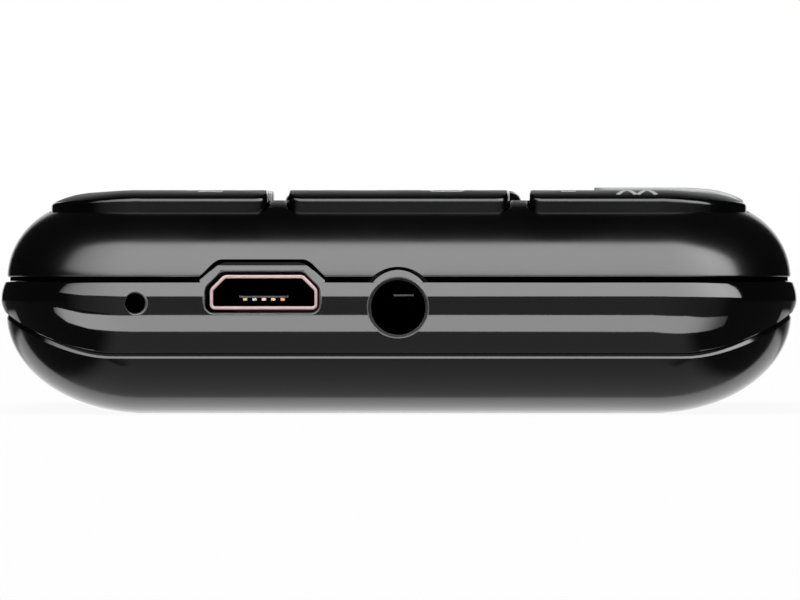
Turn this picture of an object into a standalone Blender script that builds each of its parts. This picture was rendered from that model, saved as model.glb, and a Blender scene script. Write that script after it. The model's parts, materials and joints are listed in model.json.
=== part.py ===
"""A bar-shaped mobile phone with large raised keys, lying on its back.

+X runs across the phone, +Y from the ports towards the earpiece, and +Z up through the keys.
The origin lies under the middle of the phone, on the surface that it rests on.
"""
import math

import bmesh
import bpy
from mathutils import Matrix, Vector

MM = 0.001

# Whole body
BODY_WIDTH = 55.4 * MM
BODY_LENGTH = 125.0 * MM
CORNER_RADIUS = 10.0 * MM
CORNER_STEPS = 8
SEAM_GAP = 0.3 * MM
CUT_OVERRUN = 1.0 * MM
MERGE_DISTANCE = 0.001 * MM
SMOOTH_ANGLE = math.radians(35)
ROUND_STEPS = 16
PIN_STEPS = 12

# Front housing: a flat top with a quarter-ellipse shoulder all round
CROWN_TOP_Z = 14.8 * MM
CROWN_BASE_Z = 9.4 * MM
CROWN_SHOULDER = 6.0 * MM
CROWN_EDGE_INSET = 0.45 * MM
HOUSING_WALL = 1.4 * MM
SKIRT_OUTER_INSET = 2.2 * MM
SKIRT_WALL = 0.6 * MM
SKIRT_BOTTOM_Z = 8.5 * MM
SKIRT_ROOT_Z = 10.3 * MM
SKIRT_ROOT_OVERLAP = 0.6 * MM
SKIRT_CLEARANCE = 0.3 * MM
SKIRT_STEPS = 7
SHOULDER_STEPS = 7
FRONT_SEAM_Z = 9.3 * MM

# Middle frame: a bulging band that is deeper at the ports' end
BULGE_Z = 7.9 * MM
BULGE_TOP_INSET = 0.35 * MM
FRAME_STEPS = 7
FRAME_WALL = 1.9 * MM
REAR_SEAM_END_Z = 4.1 * MM
REAR_SEAM_SIDE_Z = 6.9 * MM
REAR_SEAM_RISE_START = math.radians(22)
DECK_BOTTOM_Z = 7.3 * MM
DECK_THICKNESS = 0.8 * MM
JACK_DECK_GAP = 0.6 * MM

# Battery cover: an elliptical shell with a flat bottom
COVER_EDGE_INSET = 0.4 * MM
COVER_ROUND_WIDTH = 9.6 * MM
COVER_ROUND_HEIGHT = 6.9 * MM
COVER_FLAT_INSET = 8.3 * MM
COVER_ROUND_END = math.radians(75)
COVER_STEPS = 6
COVER_WALL = 1.1 * MM
LIP_RISE = 0.1 * MM
LIP_DEPTH = 0.9 * MM
LIP_SHOULDER = 0.35 * MM
LIP_ROOT_OVERLAP = 0.35 * MM
LIP_ROOT_STEP = 0.1 * MM
GRILLE_SLOTS = 6
GRILLE_SLOT_LENGTH = 10.0 * MM
GRILLE_SLOT_WIDTH = 0.9 * MM
GRILLE_SLOT_PITCH = 1.9 * MM
THUMB_NOTCH_WIDTH = 12.0 * MM
THUMB_NOTCH_DEPTH = 0.8 * MM
THUMB_NOTCH_HEIGHT = 1.0 * MM

# Keys
KEYPAD_INSET = 3.5 * MM
KEY_GAP = 1.5 * MM
MIDDLE_KEY_WIDTH = 15.2 * MM
KEY_LENGTH = 9.8 * MM
KEY_ROWS = (("key_star", "key_0", "key_hash"), ("key_7", "key_8", "key_9"),
            ("key_4", "key_5", "key_6"), ("key_1", "key_2", "key_3"))
KEY_PROUD = 0.7 * MM
END_KEY_PROUD = 0.95 * MM
KEY_CORNER = 0.9 * MM
KEY_CHAMFER = 0.2 * MM
KEY_CORNER_STEPS = 3
KEY_CLEARANCE = 0.3 * MM
KEY_BOTTOM_Z = 12.32 * MM
KEY_TRAVEL = 0.35 * MM
KEY_FLANGE = 0.48 * MM
KEY_FLANGE_OVERHANG = 0.45 * MM
KEY_FLANGE_SETBACK = 1.4 * MM
KEY_BEND_SHARES = (0.2, 0.45, 0.72, 1.0)

# Navigation cluster above the number keys
NAV_WIDTH = 16.8 * MM
NAV_LENGTH = 20.0 * MM
NAV_CORNER = 5.0 * MM
NAV_CLEARANCE = 0.35 * MM
NAV_SIDE_GAP = 5.2 * MM
NAV_PROUD = 0.7 * MM
NAV_ROUND = 0.85 * MM
NAV_ROUND_HEIGHT = 0.75 * MM
NAV_ROUND_STEPS = 4
OK_RADIUS = 4.6 * MM
OK_GAP = 0.4 * MM
OK_PROUD = 0.45 * MM
PIVOT_OUTER_RADIUS = 7.0 * MM
PIVOT_INNER_RADIUS = 5.1 * MM
PIVOT_THICKNESS = 0.5 * MM
PIVOT_GAP = 0.35 * MM

# Display
WINDOW_SIDE_MARGIN = 6.2 * MM
NAV_WINDOW_GAP = 2.7 * MM
EARPIECE_WINDOW_GAP = 2.9 * MM
WINDOW_CORNER = 2.5 * MM
WINDOW_THICKNESS = 0.75 * MM
WINDOW_FIT = 0.25 * MM
WINDOW_LEDGE = 1.6 * MM
DISPLAY_MARGIN = 2.0 * MM
DISPLAY_THICKNESS = 1.8 * MM
FLEX_WIDTH = 14.0 * MM
FLEX_MAT_GAP = 0.6 * MM
FLEX_LENGTH = 8.0 * MM
FLEX_THICKNESS = 0.12 * MM
FLEX_GAP = 0.12 * MM

# Earpiece
EARPIECE_INSET = 5.2 * MM
EARPIECE_SLOT_LENGTH = 11.0 * MM
EARPIECE_SLOT_WIDTH = 1.3 * MM
EARPIECE_MESH_MARGIN = 0.4 * MM
EARPIECE_MESH_THICKNESS = 0.2 * MM
EARPIECE_MESH_Z = 12.3 * MM
RECEIVER_LENGTH = 12.0 * MM
RECEIVER_WIDTH = 4.2 * MM
RECEIVER_INSET = 5.9 * MM
RECEIVER_BOTTOM_Z = 9.9 * MM
RECEIVER_THICKNESS = 2.1 * MM

# Board stack
BOARD_BOTTOM_Z = 10.12 * MM
BOARD_THICKNESS = 0.8 * MM
BOARD_LUG_GAP = 1.1 * MM
BOARD_START_INSET = 3.9 * MM
BOARD_RECEIVER_GAP = 0.5 * MM
BOARD_CORNER = 3.0 * MM
BOARD_GAP = 0.2 * MM
DOME_SHEET_THICKNESS = 0.15 * MM
DOME_SHEET_MARGIN = 0.8 * MM
MAT_THICKNESS = 0.4 * MM
MAT_NAV_OVERHANG = 0.7 * MM
SHIELD_SIZE = (30.0 * MM, 24.0 * MM, 1.3 * MM)
SIM_SIZE = (16.0 * MM, 15.0 * MM, 1.9 * MM)
DECK_WINDOW_MARGIN = 0.4 * MM

# Micro-USB socket
USB_LEAN_SHARE = 0.0545
USB_BOTTOM_Z = 7.21 * MM
USB_WIDTH = 7.5 * MM
USB_HEIGHT = 2.42 * MM
USB_TOP_CHAMFER = 1.0 * MM
USB_WALL = 0.28 * MM
USB_DEPTH = 5.4 * MM
USB_FRONT_INSET = 0.4 * MM
USB_HOLE_GAP = 0.2 * MM
USB_TONGUE_WIDTH = 3.7 * MM
USB_TONGUE_THICKNESS = 0.6 * MM
USB_TONGUE_BOTTOM_Z = 8.2 * MM
USB_TONGUE_SETBACK = 0.9 * MM
USB_CONTACTS = 5
USB_CONTACT_PITCH = 0.65 * MM
USB_CONTACT_WIDTH = 0.37 * MM
USB_CONTACT_THICKNESS = 0.15 * MM
USB_CONTACT_BAR = 0.8 * MM
USB_CONTACT_GAP = 0.1 * MM
USB_LIP_FOOT = 9.1 * MM
USB_LIP_TOP = 6.4 * MM
USB_LIP_Z = 10.5 * MM

# Audio jack
JACK_X = 0.0
JACK_Z = 7.37 * MM
JACK_HOLE_RADIUS = 2.02 * MM
JACK_BORE_RADIUS = 1.8 * MM
JACK_BODY_WIDTH = 6.4 * MM
JACK_BODY_HEIGHT = 4.9 * MM
JACK_BODY_LENGTH = 12.8 * MM
JACK_BORE_DEPTH = 11.8 * MM
JACK_LIP_RADIUS = 2.85 * MM
JACK_SPRING_WIDTH = 1.4 * MM
JACK_SPRING_THICKNESS = 0.25 * MM
JACK_SPRING_LENGTH = 4.0 * MM
JACK_SPRING_SETBACK = 2.2 * MM
JACK_SPRING_GAP = 0.12 * MM
PORT_SEAT_GAP = 0.3 * MM

# Microphone
MIC_SIDE_INSET = 9.5 * MM
MIC_Z = 7.67 * MM
MIC_HOLE_RADIUS = 0.7 * MM
MIC_RADIUS = 1.5 * MM
MIC_LENGTH = 1.1 * MM
MIC_BOOT_WALL = 0.4 * MM
MIC_BOOT_GAP = 0.1 * MM
MIC_BOOT_LIP = 0.4 * MM

# Battery and its bay
BATTERY_BOSS_GAP = 2.9 * MM
BATTERY_LENGTH = 53.0 * MM
BATTERY_DECK_INSET = 3.4 * MM
BATTERY_BOTTOM_Z = 1.5 * MM
BATTERY_THICKNESS = 5.4 * MM
BATTERY_CORNER = 1.2 * MM
BAY_CLEARANCE = 0.4 * MM
BAY_WALL = 1.0 * MM
CONTACT_BLOCK_SIZE = (10.0 * MM, 2.4 * MM, 6.3 * MM)
CONTACT_BLOCK_BOTTOM_Z = 3.6 * MM

# Loudspeaker, vibration motor and antenna
SPEAKER_SIZE = (18.0 * MM, 13.0 * MM, 3.6 * MM)
SPEAKER_INSET = 18.0 * MM
SPEAKER_BOTTOM_Z = 3.4 * MM
MOTOR_RADIUS = 2.1 * MM
MOTOR_LENGTH = 7.0 * MM
MOTOR_X = -5.0 * MM
MOTOR_BAY_GAP = 1.0 * MM
MOTOR_Z = 4.8 * MM
WEIGHT_RADIUS = 2.2 * MM
WEIGHT_LENGTH = 3.4 * MM
WEIGHT_GAP = 0.4 * MM
WEIGHT_HUB_RADIUS = 1.1 * MM
WEIGHT_BORE_RADIUS = 0.65 * MM
MOTOR_SHAFT_RADIUS = 0.4 * MM
ANTENNA_SIZE = (34.0 * MM, 4.0 * MM, 0.8 * MM)
ANTENNA_INSET = 6.3 * MM
UNDER_DECK_GAP = 0.3 * MM

# Side volume key
VOLUME_INSET = 42.5 * MM
VOLUME_LENGTH = 16.0 * MM
VOLUME_BOTTOM_Z = 7.75 * MM
VOLUME_HEIGHT = 1.3 * MM
VOLUME_DEPTH = 2.2 * MM
VOLUME_FACE_INSET = 0.05 * MM
VOLUME_FLANGE = 0.5 * MM
VOLUME_FLANGE_DEPTH = 0.4 * MM
VOLUME_CLEARANCE = 0.3 * MM
VOLUME_CORNER = 0.5 * MM
VOLUME_SWITCH_DEPTH = 0.6 * MM
VOLUME_SWITCH_LENGTH = 12.0 * MM
VOLUME_SWITCH_HEIGHT = 1.0 * MM
VOLUME_SWITCH_GAP = 0.35 * MM

# Screws and their bosses
SCREW_SIDE_INSET = 4.4 * MM
SCREW_START_INSET = 23.5 * MM
SCREW_VOLUME_GAP = 12.0 * MM
SCREW_END_INSET = 16.5 * MM
SCREW_HEAD_RADIUS = 1.5 * MM
SCREW_HEAD_HEIGHT = 0.8 * MM
SCREW_RADIUS = 0.8 * MM
SCREW_HOLE_RADIUS = 1.1 * MM
SCREW_LENGTH = 5.2 * MM
SCREW_HEAD_BOTTOM_Z = 4.5 * MM
SCREW_SLOT_RADIUS = 0.6 * MM
SCREW_SLOT_DEPTH = 0.4 * MM
BOSS_RADIUS = 2.0 * MM
BOSS_BOTTOM_Z = 5.6 * MM
LUG_BOTTOM_Z = 8.4 * MM
LUG_TOP_Z = 11.7 * MM
LUG_RADIUS = 1.9 * MM

# Sizes that follow from the ones above
HALF_WIDTH = BODY_WIDTH / 2
HALF_LENGTH = BODY_LENGTH / 2
CORNER_X = HALF_WIDTH - CORNER_RADIUS
CORNER_Y = HALF_LENGTH - CORNER_RADIUS
QUARTER_TURN = math.pi / 2
SCREW_X = HALF_WIDTH - SCREW_SIDE_INSET
CROWN_CENTRE_INSET = CROWN_EDGE_INSET + CROWN_SHOULDER
CROWN_RISE = CROWN_TOP_Z - CROWN_BASE_Z
CEILING_Z = CROWN_TOP_Z - HOUSING_WALL
COVER_CENTRE_INSET = COVER_EDGE_INSET + COVER_ROUND_WIDTH
DECK_TOP_Z = DECK_BOTTOM_Z + DECK_THICKNESS
BOARD_TOP_Z = BOARD_BOTTOM_Z + BOARD_THICKNESS
DOME_SHEET_Z = BOARD_TOP_Z + BOARD_GAP
MAT_BOTTOM_Z = DOME_SHEET_Z + DOME_SHEET_THICKNESS + BOARD_GAP
KEYPAD_HALF_WIDTH = HALF_WIDTH - KEYPAD_INSET
KEYPAD_START_Y = KEYPAD_INSET - HALF_LENGTH
KEYPAD_CORNER = CORNER_RADIUS - KEYPAD_INSET
KEY_PITCH = KEY_LENGTH + KEY_GAP
NAV_START_Y = KEYPAD_START_Y + len(KEY_ROWS) * KEY_PITCH
NAV_END_Y = NAV_START_Y + NAV_LENGTH
PORT_SEAT_Y = FRAME_WALL + PORT_SEAT_GAP - HALF_LENGTH
DECK_START_Y = PORT_SEAT_Y + JACK_BODY_LENGTH + JACK_DECK_GAP
EARPIECE_Y = HALF_LENGTH - EARPIECE_INSET
RECEIVER_Y = HALF_LENGTH - RECEIVER_INSET
WINDOW_WIDTH = BODY_WIDTH - 2 * WINDOW_SIDE_MARGIN
WINDOW_START_Y = NAV_END_Y + NAV_WINDOW_GAP
WINDOW_LENGTH = EARPIECE_Y - EARPIECE_WINDOW_GAP - WINDOW_START_Y
BOARD_HALF_WIDTH = SCREW_X - LUG_RADIUS - BOARD_LUG_GAP
BOARD_START_Y = BOARD_START_INSET - HALF_LENGTH
BOARD_END_Y = RECEIVER_Y - RECEIVER_WIDTH / 2 - BOARD_RECEIVER_GAP
MAT_END_Y = NAV_END_Y + MAT_NAV_OVERHANG
FLEX_START_Y = MAT_END_Y + FLEX_MAT_GAP
SHIELD_Y = WINDOW_START_Y + WINDOW_LENGTH / 2
MIC_X = MIC_SIDE_INSET - HALF_WIDTH
MIC_BOOT_RADIUS = MIC_RADIUS + MIC_BOOT_GAP + MIC_BOOT_WALL
PORT_ROOM_START_X = MIC_X + MIC_BOOT_RADIUS
PORT_ROOM_END_X = JACK_X - JACK_BODY_WIDTH / 2
PORT_ROOM_SPARE = PORT_ROOM_END_X - PORT_ROOM_START_X - USB_WIDTH
USB_X = (PORT_ROOM_START_X + PORT_ROOM_END_X) / 2 + USB_LEAN_SHARE * PORT_ROOM_SPARE
BATTERY_WIDTH = 2 * (SCREW_X - BOSS_RADIUS - BATTERY_BOSS_GAP - BAY_WALL - BAY_CLEARANCE)
BATTERY_START_Y = DECK_START_Y + BATTERY_DECK_INSET
SIM_Y = BATTERY_START_Y + BATTERY_LENGTH / 2
SPEAKER_Y = HALF_LENGTH - SPEAKER_INSET
ANTENNA_Y = HALF_LENGTH - ANTENNA_INSET
VOLUME_Y = HALF_LENGTH - VOLUME_INSET
BAY_HALF_WIDTH = BATTERY_WIDTH / 2 + BAY_CLEARANCE
BAY_START_Y = BATTERY_START_Y - BAY_CLEARANCE
BAY_END_Y = BATTERY_START_Y + BATTERY_LENGTH + BAY_CLEARANCE
BAY_WALL_BOTTOM_Z = COVER_WALL + SEAM_GAP
MOTOR_Y = BAY_END_Y + BAY_WALL + MOTOR_BAY_GAP + WEIGHT_RADIUS
SCREW_YS = (SCREW_START_INSET - HALF_LENGTH, VOLUME_Y - SCREW_VOLUME_GAP, HALF_LENGTH - SCREW_END_INSET)


def remove_everything():
    """Start from an empty scene."""
    for old in list(bpy.data.objects):
        bpy.data.objects.remove(old)


def material(name, colour, roughness, metallic=0.0):
    """A Principled material with one colour."""
    made = bpy.data.materials.new(name)
    made.use_nodes = True
    shader = made.node_tree.nodes["Principled BSDF"]
    shader.inputs["Base Color"].default_value = (*colour, 1.0)
    shader.inputs["Roughness"].default_value = roughness
    shader.inputs["Metallic"].default_value = metallic
    return made


def add_object(name, mesh_data, look):
    """Put a finished bmesh into the scene as a named object."""
    bmesh.ops.recalc_face_normals(mesh_data, faces=mesh_data.faces[:])
    mesh = bpy.data.meshes.new(name)
    mesh_data.to_mesh(mesh)
    mesh_data.free()
    made = bpy.data.objects.new(name, mesh)
    bpy.context.scene.collection.objects.link(made)
    if look:
        mesh.materials.append(look)
    mesh.shade_smooth()
    mesh.set_sharp_from_angle(angle=SMOOTH_ANGLE)
    return made


def combine(target, tool, operation):
    """Join a tool object to a piece, or cut it away, with an exact Boolean."""
    step = target.modifiers.new(tool.name, "BOOLEAN")
    step.operation = operation
    step.solver = "EXACT"
    step.object = tool
    evaluated = target.evaluated_get(bpy.context.evaluated_depsgraph_get())
    shaped = bpy.data.meshes.new_from_object(evaluated)
    target.modifiers.remove(step)
    target.data = shaped
    bpy.data.objects.remove(tool)


def loft(mesh_data, rings, closed=False):
    """Skin a list of rings with the same number of points, capped unless it closes on itself."""
    rows = [[mesh_data.verts.new(point) for point in ring] for ring in rings]
    pairs = list(zip(rows, rows[1:]))
    if closed:
        pairs.append((rows[-1], rows[0]))
    count = len(rows[0])
    for lower, upper in pairs:
        for index in range(count):
            following = (index + 1) % count
            mesh_data.faces.new((lower[index], lower[following], upper[following], upper[index]))
    if not closed:
        mesh_data.faces.new(rows[0])
        mesh_data.faces.new(rows[-1])


def at_height(outline, z):
    """A flat outline lifted to one height."""
    return [(x, y, z) for x, y in outline]


def rounded_box_outline(low_x, high_x, low_y, high_y, radii, steps=KEY_CORNER_STEPS):
    """A rectangle with its own radius at each corner, from low x low y, anticlockwise."""
    corners = ((low_x, low_y, 1, 1, 2), (high_x, low_y, -1, 1, 3),
               (high_x, high_y, -1, -1, 0), (low_x, high_y, 1, -1, 1))
    outline = []
    for (x, y, inward_x, inward_y, start), radius in zip(corners, radii):
        for step in range(steps + 1):
            angle = QUARTER_TURN * (start + step / steps)
            outline.append((x + radius * (inward_x + math.cos(angle)),
                            y + radius * (inward_y + math.sin(angle))))
    return outline


def prism(mesh_data, outline, low_z, high_z):
    """Extrude a flat outline upwards."""
    loft(mesh_data, (at_height(outline, low_z), at_height(outline, high_z)))


def block(mesh_data, low, high):
    """A plain box between two corners."""
    outline = ((low[0], low[1]), (high[0], low[1]), (high[0], high[1]), (low[0], high[1]))
    prism(mesh_data, outline, low[2], high[2])


def end_prism(mesh_data, profile, low_y, high_y):
    """Extrude a profile, given as x and z, along the phone's length."""
    loft(mesh_data, ([(x, low_y, z) for x, z in profile], [(x, high_y, z) for x, z in profile]))


def circle(centre_a, centre_b, radius, steps=ROUND_STEPS):
    """Points round a circle."""
    return [(centre_a + radius * math.cos(math.tau * step / steps),
             centre_b + radius * math.sin(math.tau * step / steps)) for step in range(steps)]


def inset_at(x, y):
    """How far a place lies inside the body's widest outline."""
    past_x = abs(x) - CORNER_X
    past_y = abs(y) - CORNER_Y
    if past_x > 0 and past_y > 0:
        return CORNER_RADIUS - math.hypot(past_x, past_y)
    return CORNER_RADIUS - max(past_x, past_y)


def crown_z(inset):
    """Height of the front housing's outer surface at an inset from the outline."""
    across = (CROWN_CENTRE_INSET - inset) / CROWN_SHOULDER
    if across <= 0:
        return CROWN_TOP_Z
    return CROWN_BASE_Z + CROWN_RISE * math.sqrt(max(0.0, 1 - across ** 2))


def stations(steps=CORNER_STEPS):
    """Points round the plan: the corner arc's centre and the outward angle at each."""
    found = []
    for index, (side_x, side_y) in enumerate(((1, -1), (1, 1), (-1, 1), (-1, -1))):
        for step in range(steps + 1):
            angle = QUARTER_TURN * (index - 1 + step / steps)
            found.append((side_x * CORNER_X, side_y * CORNER_Y, angle))
    return found


def plan_point(station, inset, z):
    """The point at one station, at an inset from the widest outline."""
    x, y, angle = station
    reach = CORNER_RADIUS - inset
    return (x + reach * math.cos(angle), y + reach * math.sin(angle), z)


def rear_seam_z(station):
    """Height of the seam between frame and cover: low across the ports' end, high elsewhere."""
    from_end = math.acos(max(-1.0, min(1.0, -math.sin(station[2]))))
    rise = (from_end - REAR_SEAM_RISE_START) / (QUARTER_TURN - REAR_SEAM_RISE_START)
    rise = min(max(rise, 0.0), 1.0)
    smooth_rise = rise * rise * (3 - 2 * rise)
    return REAR_SEAM_END_Z + (REAR_SEAM_SIDE_Z - REAR_SEAM_END_Z) * smooth_rise


def cover_inset(z):
    """Inset of the cover's outer surface at a height."""
    down = min(1.0, max(0.0, (COVER_ROUND_HEIGHT - z) / COVER_ROUND_HEIGHT))
    return COVER_CENTRE_INSET - COVER_ROUND_WIDTH * math.sqrt(1 - down ** 2)


def frame_inset(z, seam_z):
    """Inset of the frame's outer surface at a height, over a seam at seam_z."""
    if z >= BULGE_Z:
        return BULGE_TOP_INSET * ((z - BULGE_Z) / (FRONT_SEAM_Z - BULGE_Z)) ** 2
    return cover_inset(seam_z) * ((BULGE_Z - z) / (BULGE_Z - seam_z)) ** 2


def end_wall_y(inset):
    """Place of the ports' end at an inset from the outline."""
    return inset - HALF_LENGTH


def usb_profile(grow):
    """The socket's outer shape as x and z: square below, chamfered above, grown all round."""
    half = USB_WIDTH / 2 + grow
    low = USB_BOTTOM_Z - grow
    high = USB_BOTTOM_Z + USB_HEIGHT + grow
    chamfer = USB_TOP_CHAMFER
    return [(USB_X - half, low), (USB_X + half, low), (USB_X + half, high - chamfer),
            (USB_X + half - chamfer, high), (USB_X - half + chamfer, high), (USB_X - half, high - chamfer)]


def usb_lip_profile(grow):
    """The frame's raised lip over the socket, as x and z."""
    foot = USB_LIP_FOOT / 2 + grow
    top = USB_LIP_TOP / 2 + grow
    return [(USB_X - foot, BULGE_Z), (USB_X + foot, BULGE_Z), (USB_X + foot, FRONT_SEAM_Z),
            (USB_X + top, USB_LIP_Z + grow), (USB_X - top, USB_LIP_Z + grow), (USB_X - foot, FRONT_SEAM_Z)]


def key_column_limits():
    """Low and high x of the three key columns."""
    half = MIDDLE_KEY_WIDTH / 2
    return ((-KEYPAD_HALF_WIDTH, -half - KEY_GAP), (-half, half), (half + KEY_GAP, KEYPAD_HALF_WIDTH))


def key_plans():
    """Name, plan rectangle, corner radii, height and the sides on the keypad's edge, for each key."""
    plans = []
    for row, names in enumerate(KEY_ROWS):
        low_y = KEYPAD_START_Y + row * KEY_PITCH
        for column, (name, (low_x, high_x)) in enumerate(zip(names, key_column_limits())):
            radii = [KEY_CORNER] * 4
            if row == 0 and column == 0:
                radii[0] = KEYPAD_CORNER
            if row == 0 and column == 2:
                radii[1] = KEYPAD_CORNER
            edges = (column == 0, column == 2, row == 0)
            plans.append((name, (low_x, high_x, low_y, low_y + KEY_LENGTH), radii, KEY_PROUD, edges))
    inner_x = NAV_WIDTH / 2 + NAV_SIDE_GAP
    side_length = (NAV_LENGTH - KEY_GAP) / 2
    upper_y = NAV_START_Y + side_length + KEY_GAP
    for name, side, low_y, proud in (("key_call", -1, NAV_START_Y, KEY_PROUD),
                                     ("key_end", 1, NAV_START_Y, END_KEY_PROUD),
                                     ("key_soft_left", -1, upper_y, KEY_PROUD),
                                     ("key_soft_right", 1, upper_y, KEY_PROUD)):
        low_x, high_x = sorted((side * inner_x, side * KEYPAD_HALF_WIDTH))
        edges = (side < 0, side > 0, False)
        plans.append((name, (low_x, high_x, low_y, low_y + side_length), [KEY_CORNER] * 4, proud, edges))
    return plans


def bend_to_crown(mesh_data, above_z):
    """Let a key's top follow the housing's crown, with cuts where the shoulder curves."""
    reach = CROWN_CENTRE_INSET - KEYPAD_INSET
    for share in KEY_BEND_SHARES:
        inset = KEYPAD_INSET + share * reach
        for place, direction in (((inset - HALF_WIDTH, 0, 0), (1, 0, 0)),
                                 ((HALF_WIDTH - inset, 0, 0), (1, 0, 0)),
                                 ((0, inset - HALF_LENGTH, 0), (0, 1, 0))):
            parts = mesh_data.verts[:] + mesh_data.edges[:] + mesh_data.faces[:]
            bmesh.ops.bisect_plane(mesh_data, geom=parts, plane_co=place, plane_no=direction,
                                   dist=MERGE_DISTANCE)
    for vert in mesh_data.verts:
        if vert.co.z > above_z:
            vert.co.z += crown_z(inset_at(vert.co.x, vert.co.y)) - CROWN_TOP_Z


def key(name, limits, radii, proud, edges, look):
    """One key: straight walls, a chamfered top that follows the crown, and a flange under the ribs."""
    low_x, high_x, low_y, high_y = limits
    at_low_x, at_high_x, at_low_y = edges
    body = rounded_box_outline(low_x, high_x, low_y, high_y, radii)
    top = rounded_box_outline(low_x + KEY_CHAMFER, high_x - KEY_CHAMFER, low_y + KEY_CHAMFER,
                              high_y - KEY_CHAMFER, [radius - KEY_CHAMFER for radius in radii])
    flange_top_z = KEY_BOTTOM_Z + KEY_FLANGE
    top_z = CROWN_TOP_Z + proud
    mesh_data = bmesh.new()
    loft(mesh_data, (at_height(body, KEY_BOTTOM_Z), at_height(body, top_z - KEY_CHAMFER),
                     at_height(top, top_z)))
    bend_to_crown(mesh_data, flange_top_z)
    made = add_object(name, mesh_data, look)
    flange = rounded_box_outline(low_x + (KEY_FLANGE_SETBACK if at_low_x else -KEY_FLANGE_OVERHANG),
                                 high_x - (KEY_FLANGE_SETBACK if at_high_x else -KEY_FLANGE_OVERHANG),
                                 low_y + (KEY_FLANGE_SETBACK if at_low_y else -KEY_FLANGE_OVERHANG),
                                 high_y + KEY_FLANGE_OVERHANG,
                                 [max(radius - KEY_FLANGE_SETBACK, KEY_CORNER) for radius in radii])
    combine(made, prism_tool("flange", flange, KEY_BOTTOM_Z, flange_top_z), "UNION")
    move_origin(made, ((low_x + high_x) / 2, (low_y + high_y) / 2, KEY_BOTTOM_Z))
    return made


def prism_tool(name, outline, low_z, high_z):
    """An extruded outline used to shape another piece."""
    mesh_data = bmesh.new()
    prism(mesh_data, outline, low_z, high_z)
    return add_object(name, mesh_data, None)


def tool_of(name, build_steps):
    """A tool object made of several shapes that don't touch each other."""
    mesh_data = bmesh.new()
    for build_step in build_steps:
        build_step(mesh_data)
    return add_object(name, mesh_data, None)


def move_origin(made, place):
    """Put a piece's origin on its joint's axis, with its shape left where it is."""
    made.data.transform(Matrix.Translation(-Vector(place)))
    made.location = place


def grow(limits, amount):
    """A plan rectangle grown all round."""
    low_x, high_x, low_y, high_y = limits
    return low_x - amount, high_x + amount, low_y - amount, high_y + amount


def nav_limits():
    """Plan rectangle of the navigation ring."""
    return -NAV_WIDTH / 2, NAV_WIDTH / 2, NAV_START_Y, NAV_START_Y + NAV_LENGTH


def nav_centre_y():
    """Middle of the navigation ring."""
    return NAV_START_Y + NAV_LENGTH / 2


def window_limits(amount):
    """Plan rectangle of the display window, grown all round."""
    return grow((-WINDOW_WIDTH / 2, WINDOW_WIDTH / 2, WINDOW_START_Y, WINDOW_START_Y + WINDOW_LENGTH), amount)


def screw_places():
    """Plan places of the six screws."""
    return [(side * SCREW_X, y) for y in SCREW_YS for side in (-1, 1)]


def front_housing(look):
    """The front shell: crown, ribs between the keys, display pocket, earpiece slot and screw lugs."""
    outer = []
    inner = []
    inner_shoulder = CROWN_SHOULDER - HOUSING_WALL
    inner_rise = CROWN_RISE - HOUSING_WALL
    rim_z = FRONT_SEAM_Z + SEAM_GAP / 2
    ring = stations()
    rim_angle = math.asin((rim_z - CROWN_BASE_Z) / CROWN_RISE)
    inner_rim_angle = math.asin((rim_z - CROWN_BASE_Z) / inner_rise)
    for step in range(SHOULDER_STEPS + 1):
        share = step / SHOULDER_STEPS
        angle = rim_angle + (QUARTER_TURN - rim_angle) * share
        inner_angle = inner_rim_angle + (QUARTER_TURN - inner_rim_angle) * share
        inset = CROWN_CENTRE_INSET - CROWN_SHOULDER * math.cos(angle)
        inner_inset = CROWN_CENTRE_INSET - inner_shoulder * math.cos(inner_angle)
        outer_z = CROWN_BASE_Z + CROWN_RISE * math.sin(angle)
        inner_z = CROWN_BASE_Z + inner_rise * math.sin(inner_angle)
        outer.append([plan_point(place, inset, outer_z) for place in ring])
        inner.append([plan_point(place, inner_inset, inner_z) for place in ring])
    mesh_data = bmesh.new()
    loft(mesh_data, list(reversed(outer)) + inner)
    made = add_object("front_housing", mesh_data, look)

    combine(made, skirt(), "UNION")
    for x, y in screw_places():
        combine(made, lug(math.copysign(1, x), y), "UNION")
    combine(made, tool_of("lug_holes", [lug_holes]), "DIFFERENCE")
    combine(made, tool_of("key_openings", [key_openings]), "DIFFERENCE")
    through = rounded_box_outline(*window_limits(-WINDOW_LEDGE), [WINDOW_CORNER] * 4)
    combine(made, prism_tool("display_opening", through, CEILING_Z - CUT_OVERRUN, CROWN_TOP_Z + CUT_OVERRUN),
            "DIFFERENCE")
    pocket = rounded_box_outline(*window_limits(WINDOW_FIT), [WINDOW_CORNER + WINDOW_FIT] * 4)
    pocket_z = CROWN_TOP_Z - WINDOW_THICKNESS - SEAM_GAP
    combine(made, prism_tool("display_pocket", pocket, pocket_z, CROWN_TOP_Z + CUT_OVERRUN), "DIFFERENCE")
    notch_y = end_wall_y(-CUT_OVERRUN)
    notch_end_y = end_wall_y(FRAME_WALL + CUT_OVERRUN)
    combine(made, end_tool("usb_notch", usb_lip_profile(SEAM_GAP), notch_y, notch_end_y), "DIFFERENCE")
    jack_notch = circle(JACK_X, JACK_Z, JACK_LIP_RADIUS + SEAM_GAP, 2 * ROUND_STEPS)
    combine(made, end_tool("jack_notch", jack_notch, notch_y, notch_end_y), "DIFFERENCE")
    combine(made, tool_of("skirt_gaps", [skirt_gaps]), "DIFFERENCE")
    return made


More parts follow.
